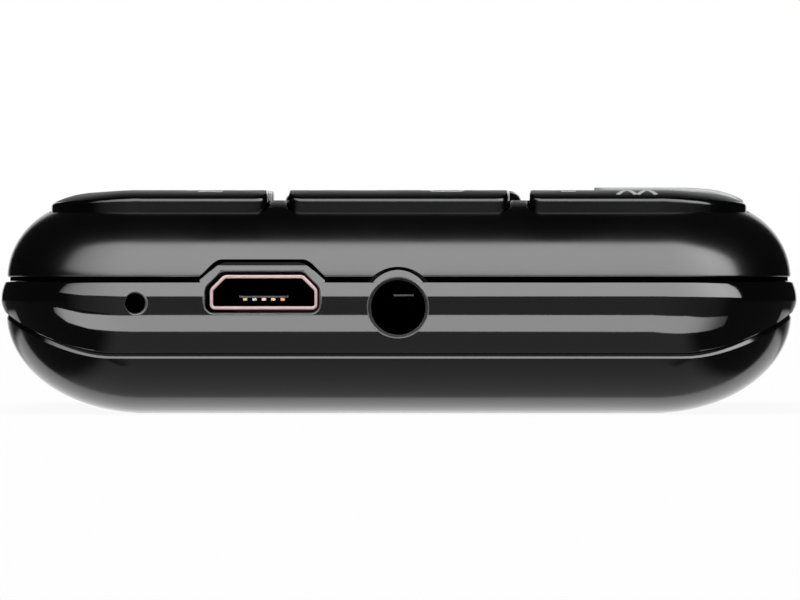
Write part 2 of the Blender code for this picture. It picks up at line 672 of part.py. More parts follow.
def skirt():
    """A thin wall inside the housing's rim that reaches down behind the frame's band."""
    inner = SKIRT_OUTER_INSET + SKIRT_WALL
    root = SKIRT_OUTER_INSET - SKIRT_ROOT_OVERLAP
    shoulder_z = FRONT_SEAM_Z + SEAM_GAP
    section = ((inner, SKIRT_BOTTOM_Z), (SKIRT_OUTER_INSET, SKIRT_BOTTOM_Z), (SKIRT_OUTER_INSET, shoulder_z),
               (root, shoulder_z), (root, SKIRT_ROOT_Z), (inner, SKIRT_ROOT_Z))
    mesh_data = bmesh.new()
    ring = stations(SKIRT_STEPS)
    loft(mesh_data, [[plan_point(place, inset, z) for place in ring] for inset, z in section], closed=True)
    return add_object("skirt", mesh_data, None)


def skirt_gaps(mesh_data):
    """Gaps in the skirt for the jack, the socket, the microphone's boot and the volume key."""
    low_y = PORT_SEAT_Y - PORT_SEAT_GAP
    high_y = low_y + SKIRT_OUTER_INSET + SKIRT_WALL
    low_z = SKIRT_BOTTOM_Z - CUT_OVERRUN
    for x, half, top_z in ((JACK_X, JACK_BODY_WIDTH / 2, JACK_Z + JACK_BODY_HEIGHT / 2),
                           (USB_X, USB_WIDTH / 2, USB_BOTTOM_Z + USB_HEIGHT),
                           (MIC_X, MIC_BOOT_RADIUS, MIC_Z + MIC_BOOT_RADIUS)):
        reach = half + SKIRT_CLEARANCE
        end_y = high_y + (x == MIC_X) * CUT_OVERRUN
        block(mesh_data, (x - reach, low_y, low_z), (x + reach, end_y, top_z + SKIRT_CLEARANCE))
    half = VOLUME_LENGTH / 2 + VOLUME_FLANGE + VOLUME_CLEARANCE
    block(mesh_data, (volume_switch_x() - SKIRT_CLEARANCE, VOLUME_Y - half, low_z),
          (HALF_WIDTH - FRAME_WALL, VOLUME_Y + half, VOLUME_BOTTOM_Z + VOLUME_HEIGHT + SKIRT_CLEARANCE))


def lug(side, y):
    """A block round a screw that reaches out into the housing's wall above the frame."""
    inner_x = SCREW_X - LUG_RADIUS
    outer_x = SCREW_X + LUG_RADIUS
    wall_x = HALF_WIDTH - CROWN_EDGE_INSET - HOUSING_WALL / 2
    step_z = FRONT_SEAM_Z + SEAM_GAP * 2
    profile = ((inner_x, LUG_BOTTOM_Z), (outer_x, LUG_BOTTOM_Z), (outer_x, step_z), (wall_x, step_z),
               (wall_x, LUG_TOP_Z), (inner_x, LUG_TOP_Z))
    return end_tool("lug", [(side * x, z) for x, z in profile], y - LUG_RADIUS, y + LUG_RADIUS)


def lug_holes(mesh_data):
    """Screw holes up into the housing's lugs."""
    for x, y in screw_places():
        prism(mesh_data, circle(x, y, SCREW_HOLE_RADIUS, PIN_STEPS), LUG_BOTTOM_Z - CUT_OVERRUN,
              SCREW_HEAD_BOTTOM_Z + SCREW_HEAD_HEIGHT + SCREW_LENGTH + SEAM_GAP)


def key_openings(mesh_data):
    """The holes that the keys and the navigation ring stand in, and the earpiece slot."""
    low_z = KEY_BOTTOM_Z - KEY_TRAVEL
    high_z = CROWN_TOP_Z + CUT_OVERRUN
    for _name, limits, radii, _proud, _edges in key_plans():
        wider = [radius + KEY_CLEARANCE for radius in radii]
        prism(mesh_data, rounded_box_outline(*grow(limits, KEY_CLEARANCE), wider), low_z, high_z)
    outline = rounded_box_outline(*grow(nav_limits(), NAV_CLEARANCE), [NAV_CORNER + NAV_CLEARANCE] * 4)
    prism(mesh_data, outline, low_z, high_z)
    half_length = EARPIECE_SLOT_LENGTH / 2
    half_width = EARPIECE_SLOT_WIDTH / 2
    slot = rounded_box_outline(-half_length, half_length, EARPIECE_Y - half_width, EARPIECE_Y + half_width,
                               [half_width] * 4)
    prism(mesh_data, slot, low_z, high_z)


def battery_cover(look):
    """The back shell: a rounded tray with a flat bottom, speaker slots and a thumbnail notch."""
    outer = []
    inner = []
    ring = stations()
    rim = [cover_rim_z(place) for place in ring]
    start_angles = [math.asin((COVER_ROUND_HEIGHT - z) / COVER_ROUND_HEIGHT) for z in rim]
    inner_height = COVER_ROUND_HEIGHT - COVER_WALL
    inner_starts = [math.asin((COVER_ROUND_HEIGHT - z) / inner_height) for z in rim]
    inner_width = COVER_ROUND_WIDTH - COVER_WALL
    for step in range(COVER_STEPS):
        share = step / (COVER_STEPS - 1)
        outer.append([cover_point(place, start + (COVER_ROUND_END - start) * share, COVER_ROUND_WIDTH,
                                  COVER_ROUND_HEIGHT) for place, start in zip(ring, start_angles)])
        inner.append([cover_point(place, start + (COVER_ROUND_END - start) * share, inner_width,
                                  inner_height) for place, start in zip(ring, inner_starts)])
    outer.append([plan_point(place, COVER_FLAT_INSET, 0) for place in ring])
    inner.append([plan_point(place, COVER_FLAT_INSET, COVER_WALL) for place in ring])
    mesh_data = bmesh.new()
    loft(mesh_data, list(reversed(inner)) + outer)
    made = add_object("battery_cover", mesh_data, look)
    lip = cover_lip()
    combine(lip, tool_of("boss_gaps", [boss_gaps]), "DIFFERENCE")
    combine(made, lip, "UNION")
    combine(made, tool_of("grille", [grille_slots]), "DIFFERENCE")
    top_y = HALF_LENGTH - COVER_EDGE_INSET - THUMB_NOTCH_DEPTH
    notch = tool_of("thumb_notch", [lambda data: block(
        data, (-THUMB_NOTCH_WIDTH / 2, top_y, REAR_SEAM_SIDE_Z - THUMB_NOTCH_HEIGHT),
        (THUMB_NOTCH_WIDTH / 2, HALF_LENGTH + CUT_OVERRUN, REAR_SEAM_SIDE_Z + CUT_OVERRUN))])
    combine(made, notch, "DIFFERENCE")
    move_origin(made, (0, 0, 0))
    return made


def cover_rim_z(place):
    """Height of the cover's rim, just under the rear seam."""
    return rear_seam_z(place) - SEAM_GAP / 2


def cover_lip():
    """A thin lip inside the cover's rim that stands up behind the frame's band."""
    inner = SKIRT_OUTER_INSET + SKIRT_WALL
    rise = LIP_RISE + SEAM_GAP / 2
    rows = [[], [], [], [], [], []]
    for place in stations(SKIRT_STEPS):
        rim_z = cover_rim_z(place)
        shoulder_z = rim_z - LIP_SHOULDER
        root_z = rim_z - LIP_DEPTH
        shoulder_inset = min(cover_inset(shoulder_z) + LIP_ROOT_OVERLAP, SKIRT_OUTER_INSET - LIP_ROOT_STEP)
        root_inset = min(cover_inset(root_z) + LIP_ROOT_OVERLAP, inner - LIP_ROOT_STEP)
        section = ((inner, root_z), (inner, rim_z + rise), (SKIRT_OUTER_INSET, rim_z + rise),
                   (SKIRT_OUTER_INSET, shoulder_z), (shoulder_inset, shoulder_z), (root_inset, root_z))
        for row, (inset, z) in zip(rows, section):
            row.append(plan_point(place, inset, z))
    mesh_data = bmesh.new()
    loft(mesh_data, rows, closed=True)
    return add_object("cover_lip", mesh_data, None)


def boss_gaps(mesh_data):
    """Gaps in the cover's lip for the frame's screw bosses."""
    for x, y in screw_places():
        prism(mesh_data, circle(x, y, BOSS_RADIUS + SKIRT_CLEARANCE), BOSS_BOTTOM_Z - SKIRT_CLEARANCE,
              DECK_BOTTOM_Z)


def cover_point(place, angle, width, height):
    """A point on the cover's rounded side, at an angle down from its widest line."""
    inset = COVER_CENTRE_INSET - width * math.cos(angle)
    return plan_point(place, inset, COVER_ROUND_HEIGHT - height * math.sin(angle))


def grille_slots(mesh_data):
    """Slots through the cover under the loudspeaker."""
    for index in range(GRILLE_SLOTS):
        x = (index - (GRILLE_SLOTS - 1) / 2) * GRILLE_SLOT_PITCH
        half_width = GRILLE_SLOT_WIDTH / 2
        half_length = GRILLE_SLOT_LENGTH / 2
        slot = rounded_box_outline(x - half_width, x + half_width, SPEAKER_Y - half_length,
                                   SPEAKER_Y + half_length, [half_width] * 4)
        prism(mesh_data, slot, -CUT_OVERRUN, COVER_WALL + CUT_OVERRUN)


def mid_frame(look):
    """The chassis: outer band, deck over the battery, bay walls, bosses, and the ports' holes."""
    outer = []
    ring = stations()
    seams = [rear_seam_z(place) for place in ring]
    top_z = FRONT_SEAM_Z - SEAM_GAP / 2
    for step in range(FRAME_STEPS + 1):
        share = step / FRAME_STEPS
        row = []
        for place, seam in zip(ring, seams):
            z = top_z + (seam + SEAM_GAP / 2 - top_z) * share
            row.append(plan_point(place, frame_inset(z, seam), z))
        outer.append(row)
    inner_low = [plan_point(place, FRAME_WALL, seam + SEAM_GAP / 2) for place, seam in zip(ring, seams)]
    inner_high = [plan_point(place, FRAME_WALL, top_z) for place in ring]
    mesh_data = bmesh.new()
    loft(mesh_data, outer + [inner_low, inner_high], closed=True)
    made = add_object("mid_frame", mesh_data, look)

    lip_y = end_wall_y(CROWN_EDGE_INSET)
    inner_y = end_wall_y(FRAME_WALL)
    combine(made, end_tool("usb_lip", usb_lip_profile(0), lip_y, inner_y), "UNION")
    jack_lip = circle(JACK_X, JACK_Z, JACK_LIP_RADIUS, 2 * ROUND_STEPS)
    combine(made, end_tool("jack_lip", jack_lip, lip_y, inner_y), "UNION")

    combine(made, prism_tool("deck", deck_outline(), DECK_BOTTOM_Z, DECK_TOP_Z), "UNION")
    bay = (-BAY_HALF_WIDTH, BAY_HALF_WIDTH, BAY_START_Y, BAY_END_Y)
    walls = prism_tool("bay_walls", rounded_box_outline(*grow(bay, BAY_WALL), [BATTERY_CORNER] * 4),
                       BAY_WALL_BOTTOM_Z, DECK_BOTTOM_Z + DECK_THICKNESS / 2)
    combine(walls, prism_tool("bay", rounded_box_outline(*bay, [BATTERY_CORNER] * 4),
                              BAY_WALL_BOTTOM_Z - CUT_OVERRUN, DECK_TOP_Z + CUT_OVERRUN), "DIFFERENCE")
    combine(made, walls, "UNION")
    middle_z = DECK_BOTTOM_Z + DECK_THICKNESS / 2
    combine(made, tool_of("bosses", [lambda data: bosses(data, middle_z)]), "UNION")
    combine(made, tool_of("receiver_pad", [lambda data: receiver_pad(data, middle_z)]), "UNION")

    combine(made, tool_of("deck_windows", [deck_windows]), "DIFFERENCE")
    combine(made, tool_of("screw_holes", [boss_holes]), "DIFFERENCE")
    outside_y = end_wall_y(-CUT_OVERRUN)
    inside_y = inner_y + CUT_OVERRUN
    combine(made, end_tool("usb_hole", usb_profile(USB_HOLE_GAP), outside_y, inside_y), "DIFFERENCE")
    jack_hole = circle(JACK_X, JACK_Z, JACK_HOLE_RADIUS, 2 * ROUND_STEPS)
    combine(made, end_tool("jack_hole", jack_hole, outside_y, inside_y), "DIFFERENCE")
    mic_hole = circle(MIC_X, MIC_Z, MIC_HOLE_RADIUS, PIN_STEPS)
    combine(made, end_tool("mic_hole", mic_hole, outside_y, inside_y), "DIFFERENCE")
    combine(made, tool_of("volume_slot", [volume_slot]), "DIFFERENCE")
    combine(made, tool_of("volume_pocket", [volume_pocket]), "DIFFERENCE")
    return made


def end_tool(name, profile, low_y, high_y):
    """A profile extruded along the phone, used to shape another piece."""
    mesh_data = bmesh.new()
    end_prism(mesh_data, profile, low_y, high_y)
    return add_object(name, mesh_data, None)


def deck_outline():
    """Plan of the deck: it starts behind the ports and fills the band up to the top end."""
    inset = FRAME_WALL / 2
    half = HALF_WIDTH - inset
    upper = [plan_point(place, inset, 0)[:2] for place in stations() if math.sin(place[2]) > -MERGE_DISTANCE
             and place[1] > 0]
    return [(-half, DECK_START_Y), (half, DECK_START_Y)] + upper


def bosses(mesh_data, high_z):
    """The posts under the deck that the screws pass through."""
    for x, y in screw_places():
        prism(mesh_data, circle(x, y, BOSS_RADIUS), BOSS_BOTTOM_Z, high_z)


def receiver_pad(mesh_data, low_z):
    """The raised pad that the earpiece receiver sits on."""
    half_length = RECEIVER_LENGTH / 2 - BAY_WALL
    half_width = RECEIVER_WIDTH / 2 - BAY_WALL / 2
    block(mesh_data, (-half_length, RECEIVER_Y - half_width, low_z),
          (half_length, RECEIVER_Y + half_width, RECEIVER_BOTTOM_Z - SEAM_GAP))


def deck_windows(mesh_data):
    """Cut-outs in the deck for the SIM socket and the battery contacts."""
    half_x = SIM_SIZE[0] / 2 + DECK_WINDOW_MARGIN
    half_y = SIM_SIZE[1] / 2 + DECK_WINDOW_MARGIN
    low_z = DECK_BOTTOM_Z - CUT_OVERRUN
    high_z = DECK_TOP_Z + CUT_OVERRUN
    block(mesh_data, (-half_x, SIM_Y - half_y, low_z), (half_x, SIM_Y + half_y, high_z))
    half_x = CONTACT_BLOCK_SIZE[0] / 2 + DECK_WINDOW_MARGIN
    block(mesh_data, (-half_x, DECK_START_Y - CUT_OVERRUN, CONTACT_BLOCK_BOTTOM_Z - DECK_WINDOW_MARGIN),
          (half_x, BAY_START_Y + DECK_WINDOW_MARGIN, high_z))


def boss_holes(mesh_data):
    """Clearance holes for the screws through the bosses and the deck."""
    for x, y in screw_places():
        prism(mesh_data, circle(x, y, SCREW_HOLE_RADIUS, PIN_STEPS), BOSS_BOTTOM_Z - CUT_OVERRUN,
              DECK_TOP_Z + CUT_OVERRUN)


def volume_slot(mesh_data):
    """The notch in the band that the volume key stands in, open to the seam above it."""
    half = VOLUME_LENGTH / 2 + VOLUME_CLEARANCE
    inner_x = HALF_WIDTH - FRAME_WALL - CUT_OVERRUN / 2
    block(mesh_data, (inner_x, VOLUME_Y - half, VOLUME_BOTTOM_Z - VOLUME_CLEARANCE),
          (HALF_WIDTH + CUT_OVERRUN, VOLUME_Y + half, FRONT_SEAM_Z + CUT_OVERRUN))


def volume_pocket(mesh_data):
    """The room inside the band for the volume key's flange and its switch."""
    half = VOLUME_LENGTH / 2 + VOLUME_FLANGE + VOLUME_CLEARANCE
    low_x = volume_switch_x() - VOLUME_CLEARANCE
    block(mesh_data, (low_x, VOLUME_Y - half, DECK_BOTTOM_Z - CUT_OVERRUN),
          (HALF_WIDTH - FRAME_WALL, VOLUME_Y + half, DECK_TOP_Z + CUT_OVERRUN))


def volume_back_x():
    """Where the volume key's flange ends, inside the frame."""
    return HALF_WIDTH - VOLUME_FACE_INSET - VOLUME_DEPTH - VOLUME_FLANGE_DEPTH


def volume_switch_x():
    """The inner side of the volume switch."""
    return volume_back_x() - VOLUME_SWITCH_GAP - VOLUME_SWITCH_DEPTH


def volume_key(look):
    """The rocker in the right side, with a flange that keeps it in the frame."""
    half = VOLUME_LENGTH / 2
    face_x = HALF_WIDTH - VOLUME_FACE_INSET
    root_x = face_x - VOLUME_DEPTH
    top_z = VOLUME_BOTTOM_Z + VOLUME_HEIGHT
    chamfer = VOLUME_CORNER / 2
    plan = [(volume_back_x(), VOLUME_Y - half - VOLUME_FLANGE), (root_x, VOLUME_Y - half - VOLUME_FLANGE),
            (root_x, VOLUME_Y - half), (face_x - VOLUME_CORNER, VOLUME_Y - half),
            (face_x - chamfer / 2, VOLUME_Y - half + chamfer), (face_x, VOLUME_Y - half + VOLUME_CORNER),
            (face_x, VOLUME_Y + half - VOLUME_CORNER), (face_x - chamfer / 2, VOLUME_Y + half - chamfer),
            (face_x - VOLUME_CORNER, VOLUME_Y + half), (root_x, VOLUME_Y + half),
            (root_x, VOLUME_Y + half + VOLUME_FLANGE), (volume_back_x(), VOLUME_Y + half + VOLUME_FLANGE)]
    mesh_data = bmesh.new()
    prism(mesh_data, plan, VOLUME_BOTTOM_Z, top_z)
    made = add_object("volume_key", mesh_data, look)
    move_origin(made, (volume_back_x(), VOLUME_Y, VOLUME_BOTTOM_Z))
    return made


def navigation(key_look, ring_look):
    """The four-way ring, the pivot ring that it tips on, and the OK key in its middle."""
    centre_y = nav_centre_y()
    limits = nav_limits()
    top_z = CROWN_TOP_Z + NAV_PROUD
    rows = [at_height(rounded_box_outline(*limits, [NAV_CORNER] * 4), KEY_BOTTOM_Z)]
    for step in range(NAV_ROUND_STEPS + 1):
        angle = QUARTER_TURN * step / NAV_ROUND_STEPS
        setback = NAV_ROUND * (1 - math.cos(angle))
        outline = rounded_box_outline(*grow(limits, -setback), [NAV_CORNER - setback] * 4)
        rows.append(at_height(outline, top_z - NAV_ROUND_HEIGHT * (1 - math.sin(angle))))
    mesh_data = bmesh.new()
    loft(mesh_data, rows)
    ring = add_object("nav_ring", mesh_data, ring_look)
    flange = rounded_box_outline(*grow(limits, KEY_FLANGE_OVERHANG + NAV_CLEARANCE),
                                 [NAV_CORNER + KEY_FLANGE_OVERHANG] * 4)
    combine(ring, prism_tool("flange", flange, KEY_BOTTOM_Z, KEY_BOTTOM_Z + KEY_FLANGE), "UNION")
    hole = circle(0, centre_y, OK_RADIUS + OK_GAP, 2 * ROUND_STEPS)
    combine(ring, prism_tool("ok_hole", hole, KEY_BOTTOM_Z - CUT_OVERRUN, top_z + CUT_OVERRUN), "DIFFERENCE")
    recess = circle(0, centre_y, PIVOT_OUTER_RADIUS + PIVOT_GAP, 2 * ROUND_STEPS)
    combine(ring, prism_tool("pivot_recess", recess, KEY_BOTTOM_Z - CUT_OVERRUN,
                             KEY_BOTTOM_Z + PIVOT_THICKNESS + PIVOT_GAP), "DIFFERENCE")
    joint_place = (0, centre_y, KEY_BOTTOM_Z + PIVOT_THICKNESS / 2)
    move_origin(ring, joint_place)

    mesh_data = bmesh.new()
    prism(mesh_data, circle(0, centre_y, PIVOT_OUTER_RADIUS, 2 * ROUND_STEPS), KEY_BOTTOM_Z,
          KEY_BOTTOM_Z + PIVOT_THICKNESS)
    pivot = add_object("nav_pivot", mesh_data, key_look)
    bore = circle(0, centre_y, PIVOT_INNER_RADIUS, 2 * ROUND_STEPS)
    combine(pivot, prism_tool("pivot_bore", bore, KEY_BOTTOM_Z - CUT_OVERRUN,
                              KEY_BOTTOM_Z + PIVOT_THICKNESS + CUT_OVERRUN), "DIFFERENCE")
    move_origin(pivot, joint_place)

    mesh_data = bmesh.new()
    ok_top_z = CROWN_TOP_Z + OK_PROUD
    wall = circle(0, centre_y, OK_RADIUS, 2 * ROUND_STEPS)
    rim = circle(0, centre_y, OK_RADIUS - KEY_CHAMFER, 2 * ROUND_STEPS)
    loft(mesh_data, (at_height(wall, KEY_BOTTOM_Z), at_height(wall, ok_top_z - KEY_CHAMFER),
                     at_height(rim, ok_top_z)))
    ok_key = add_object("key_ok", mesh_data, key_look)
    move_origin(ok_key, (0, centre_y, KEY_BOTTOM_Z))


def plain_box(name, low, high, look):
    """A box-shaped piece between two corners."""
    mesh_data = bmesh.new()
    block(mesh_data, low, high)
    return add_object(name, mesh_data, look)


def plate(name, limits, corner, low_z, thickness, look):
    """A flat piece with rounded corners."""
    mesh_data = bmesh.new()
    prism(mesh_data, rounded_box_outline(*limits, [corner] * 4), low_z, low_z + thickness)
    return add_object(name, mesh_data, look)


def display(window_look, module_look, flex_look):
    """The window in its pocket, the display module under it, and the module's flex."""
    plate("display_window", window_limits(0), WINDOW_CORNER, CROWN_TOP_Z - WINDOW_THICKNESS, WINDOW_THICKNESS,
          window_look)
    module_z = CEILING_Z - SEAM_GAP - DISPLAY_THICKNESS
    plate("display_module", window_limits(-DISPLAY_MARGIN), KEY_CORNER, module_z, DISPLAY_THICKNESS,
          module_look)
    flex = (-FLEX_WIDTH / 2, FLEX_WIDTH / 2, FLEX_START_Y, FLEX_START_Y + FLEX_LENGTH)
    plate("display_flex", flex, KEY_CORNER, BOARD_TOP_Z + FLEX_GAP, FLEX_THICKNESS, flex_look)


def earpiece(mesh_look, receiver_look):
    """The mesh under the earpiece slot and the receiver on its pad."""
    half_length = EARPIECE_SLOT_LENGTH / 2 + EARPIECE_MESH_MARGIN
    half_width = EARPIECE_SLOT_WIDTH / 2 + EARPIECE_MESH_MARGIN
    plate("earpiece_mesh", (-half_length, half_length, EARPIECE_Y - half_width, EARPIECE_Y + half_width),
          half_width / 2, EARPIECE_MESH_Z, EARPIECE_MESH_THICKNESS, mesh_look)
    plate("earpiece_receiver", (-RECEIVER_LENGTH / 2, RECEIVER_LENGTH / 2, RECEIVER_Y - RECEIVER_WIDTH / 2,
                                RECEIVER_Y + RECEIVER_WIDTH / 2), KEY_CORNER, RECEIVER_BOTTOM_Z,
          RECEIVER_THICKNESS, receiver_look)


def board_stack(looks):
    """The main board, the shield can and SIM socket under it, and the dome sheet and mat on it."""
    board = (-BOARD_HALF_WIDTH, BOARD_HALF_WIDTH, BOARD_START_Y, BOARD_END_Y)
    plate("main_board", board, BOARD_CORNER, BOARD_BOTTOM_Z, BOARD_THICKNESS, looks["board"])
    domes = (DOME_SHEET_MARGIN - BOARD_HALF_WIDTH, BOARD_HALF_WIDTH - DOME_SHEET_MARGIN,
             BOARD_START_Y + DOME_SHEET_MARGIN, MAT_END_Y)
    plate("dome_sheet", domes, BOARD_CORNER, DOME_SHEET_Z, DOME_SHEET_THICKNESS, looks["dome"])
    mat = (-BOARD_HALF_WIDTH, BOARD_HALF_WIDTH, BOARD_START_Y, MAT_END_Y)
    plate("keypad_mat", mat, BOARD_CORNER, MAT_BOTTOM_Z, MAT_THICKNESS, looks["rubber"])
    top_z = BOARD_BOTTOM_Z - BOARD_GAP
    hung_box("shield_can", SHIELD_SIZE, 0, SHIELD_Y, top_z, looks["steel"])
    hung_box("sim_socket", SIM_SIZE, 0, SIM_Y, top_z, looks["steel"])
    block_y = BAY_START_Y - CONTACT_BLOCK_SIZE[1] / 2
    block_top_z = CONTACT_BLOCK_BOTTOM_Z + CONTACT_BLOCK_SIZE[2]
    hung_box("battery_contacts", CONTACT_BLOCK_SIZE, 0, block_y, block_top_z, looks["gold"])


def hung_box(name, size, x, y, top_z, look):
    """A box given by its size, its middle in plan and its top."""
    half_x, half_y, height = size[0] / 2, size[1] / 2, size[2]
    return plain_box(name, (x - half_x, y - half_y, top_z - height), (x + half_x, y + half_y, top_z), look)


def battery(look):
    """The battery in its bay."""
    limits = (-BATTERY_WIDTH / 2, BATTERY_WIDTH / 2, BATTERY_START_Y, BATTERY_START_Y + BATTERY_LENGTH)
    made = plate("battery", limits, BATTERY_CORNER, BATTERY_BOTTOM_Z, BATTERY_THICKNESS, look)
    move_origin(made, (0, BATTERY_START_Y + BATTERY_LENGTH / 2, BATTERY_BOTTOM_Z))
    return made


def usb_socket(shell_look, tongue_look, contact_look):
    """The socket's metal shell, the tongue inside it and the comb of contacts under the tongue."""
    front_y = end_wall_y(USB_FRONT_INSET)
    back_y = front_y + USB_DEPTH
    mesh_data = bmesh.new()
    end_prism(mesh_data, usb_profile(0), front_y, back_y)
    shell = add_object("usb_shell", mesh_data, shell_look)
    combine(shell, end_tool("usb_inside", usb_profile(-USB_WALL), front_y - CUT_OVERRUN, back_y - USB_WALL),
            "DIFFERENCE")
    tongue_y = front_y + USB_TONGUE_SETBACK
    tongue_end_y = back_y - USB_WALL - USB_CONTACT_GAP
    half = USB_TONGUE_WIDTH / 2
    plain_box("usb_tongue", (USB_X - half, tongue_y, USB_TONGUE_BOTTOM_Z),
              (USB_X + half, tongue_end_y, USB_TONGUE_BOTTOM_Z + USB_TONGUE_THICKNESS), tongue_look)
    comb = []
    bar_y = tongue_end_y - USB_CONTACT_BAR
    for index in range(USB_CONTACTS):
        x = USB_X + (index - (USB_CONTACTS - 1) / 2) * USB_CONTACT_PITCH
        left, right = x - USB_CONTACT_WIDTH / 2, x + USB_CONTACT_WIDTH / 2
        comb += [(left, bar_y), (left, tongue_y), (right, tongue_y), (right, bar_y)]
    comb += [(comb[-1][0], tongue_end_y), (comb[0][0], tongue_end_y)]
    mesh_data = bmesh.new()
    contact_z = USB_TONGUE_BOTTOM_Z - USB_CONTACT_GAP - USB_CONTACT_THICKNESS
    prism(mesh_data, comb, contact_z, contact_z + USB_CONTACT_THICKNESS)
    add_object("usb_contacts", mesh_data, contact_look)


def audio_jack(body_look, spring_look):
    """The jack's body with its bore, and the contact spring along the top of the bore."""
    back_y = PORT_SEAT_Y + JACK_BODY_LENGTH
    half_x, half_z = JACK_BODY_WIDTH / 2, JACK_BODY_HEIGHT / 2
    body = plain_box("jack_body", (JACK_X - half_x, PORT_SEAT_Y, JACK_Z - half_z),
                     (JACK_X + half_x, back_y, JACK_Z + half_z), body_look)
    bore = circle(JACK_X, JACK_Z, JACK_BORE_RADIUS, 2 * ROUND_STEPS)
    combine(body, end_tool("jack_bore", bore, PORT_SEAT_Y - CUT_OVERRUN, PORT_SEAT_Y + JACK_BORE_DEPTH),
            "DIFFERENCE")
    top_z = JACK_Z + math.sqrt(JACK_BORE_RADIUS ** 2 - (JACK_SPRING_WIDTH / 2) ** 2) - JACK_SPRING_GAP
    spring_y = PORT_SEAT_Y + JACK_SPRING_SETBACK
    plain_box("jack_spring", (JACK_X - JACK_SPRING_WIDTH / 2, spring_y, top_z - JACK_SPRING_THICKNESS),
              (JACK_X + JACK_SPRING_WIDTH / 2, spring_y + JACK_SPRING_LENGTH, top_z), spring_look)


def microphone(look, boot_look):
    """The microphone capsule behind its hole, in a rubber boot."""
    inner_radius = CORNER_RADIUS - FRAME_WALL
    past_corner = abs(MIC_X) + MIC_BOOT_RADIUS - CORNER_X
    seat_y = PORT_SEAT_GAP - CORNER_Y - math.sqrt(inner_radius ** 2 - past_corner ** 2)
    boot_end_y = seat_y + MIC_BOOT_LIP + MIC_LENGTH
    mesh_data = bmesh.new()
    end_prism(mesh_data, circle(MIC_X, MIC_Z, MIC_BOOT_RADIUS), seat_y, boot_end_y)
    boot = add_object("microphone_boot", mesh_data, boot_look)
    room = circle(MIC_X, MIC_Z, MIC_RADIUS + MIC_BOOT_GAP)
    combine(boot, end_tool("boot_room", room, seat_y + MIC_BOOT_LIP, boot_end_y + CUT_OVERRUN), "DIFFERENCE")
    hole = circle(MIC_X, MIC_Z, MIC_HOLE_RADIUS, PIN_STEPS)
    combine(boot, end_tool("boot_hole", hole, seat_y - CUT_OVERRUN, boot_end_y + CUT_OVERRUN), "DIFFERENCE")
    mesh_data = bmesh.new()
    end_prism(mesh_data, circle(MIC_X, MIC_Z, MIC_RADIUS), seat_y + MIC_BOOT_LIP + MIC_BOOT_GAP, boot_end_y)
    add_object("microphone", mesh_data, look)


def loudspeaker(look):
    """The loudspeaker over the cover's slots."""
    hung_box("loudspeaker", SPEAKER_SIZE, 0, SPEAKER_Y, SPEAKER_BOTTOM_Z + SPEAKER_SIZE[2], look)


def turned(outline_radius, x_low, x_high, y, z, steps=ROUND_STEPS):
    """Two rings of a cylinder along X."""
    return [[(x, y + radius_y, z + radius_z) for radius_y, radius_z in circle(0, 0, outline_radius, steps)]
            for x in (x_low, x_high)]


def vibration_unit(motor_look, weight_look):
    """The vibration motor with its shaft, and the eccentric weight that turns on it."""
    end_x = MOTOR_X + MOTOR_LENGTH
    weight_x = end_x + WEIGHT_GAP
    shaft_end_x = weight_x + WEIGHT_LENGTH
    mesh_data = bmesh.new()
    loft(mesh_data, turned(MOTOR_RADIUS, MOTOR_X, end_x, MOTOR_Y, MOTOR_Z)
         + turned(MOTOR_SHAFT_RADIUS, end_x, shaft_end_x, MOTOR_Y, MOTOR_Z))
    add_object("vibration_motor", mesh_data, motor_look)
    profile = []
    for step in range(ROUND_STEPS + 1):
        angle = math.pi + math.pi * step / ROUND_STEPS
        profile.append((WEIGHT_RADIUS * math.cos(angle), WEIGHT_RADIUS * math.sin(angle)))
    for step in range(PIN_STEPS // 2 + 1):
        angle = math.pi * step / (PIN_STEPS // 2)
        profile.append((WEIGHT_HUB_RADIUS * math.cos(angle), WEIGHT_HUB_RADIUS * math.sin(angle)))
    mesh_data = bmesh.new()
    loft(mesh_data, [[(x, MOTOR_Y + across, MOTOR_Z + up) for across, up in profile]
                     for x in (weight_x, shaft_end_x)])
    weight = add_object("vibration_weight", mesh_data, weight_look)
    mesh_data = bmesh.new()
    loft(mesh_data, turned(WEIGHT_BORE_RADIUS, weight_x - WEIGHT_GAP / 2, shaft_end_x + CUT_OVERRUN, MOTOR_Y,
                           MOTOR_Z, PIN_STEPS))
    combine(weight, add_object("weight_bore", mesh_data, None), "DIFFERENCE")
    move_origin(weight, (weight_x, MOTOR_Y, MOTOR_Z))


def antenna(look):
    """The antenna strip under the deck at the top end."""
    hung_box("antenna", ANTENNA_SIZE, 0, ANTENNA_Y, DECK_BOTTOM_Z - UNDER_DECK_GAP, look)


def volume_switch(look):
    """The switch that the volume key's two ends press."""
    low_x = volume_switch_x()
    half = VOLUME_SWITCH_LENGTH / 2
    low_z = VOLUME_BOTTOM_Z + (VOLUME_HEIGHT - VOLUME_SWITCH_HEIGHT) / 2
    plain_box("volume_switch", (low_x, VOLUME_Y - half, low_z),
              (low_x + VOLUME_SWITCH_DEPTH, VOLUME_Y + half, low_z + VOLUME_SWITCH_HEIGHT), look)


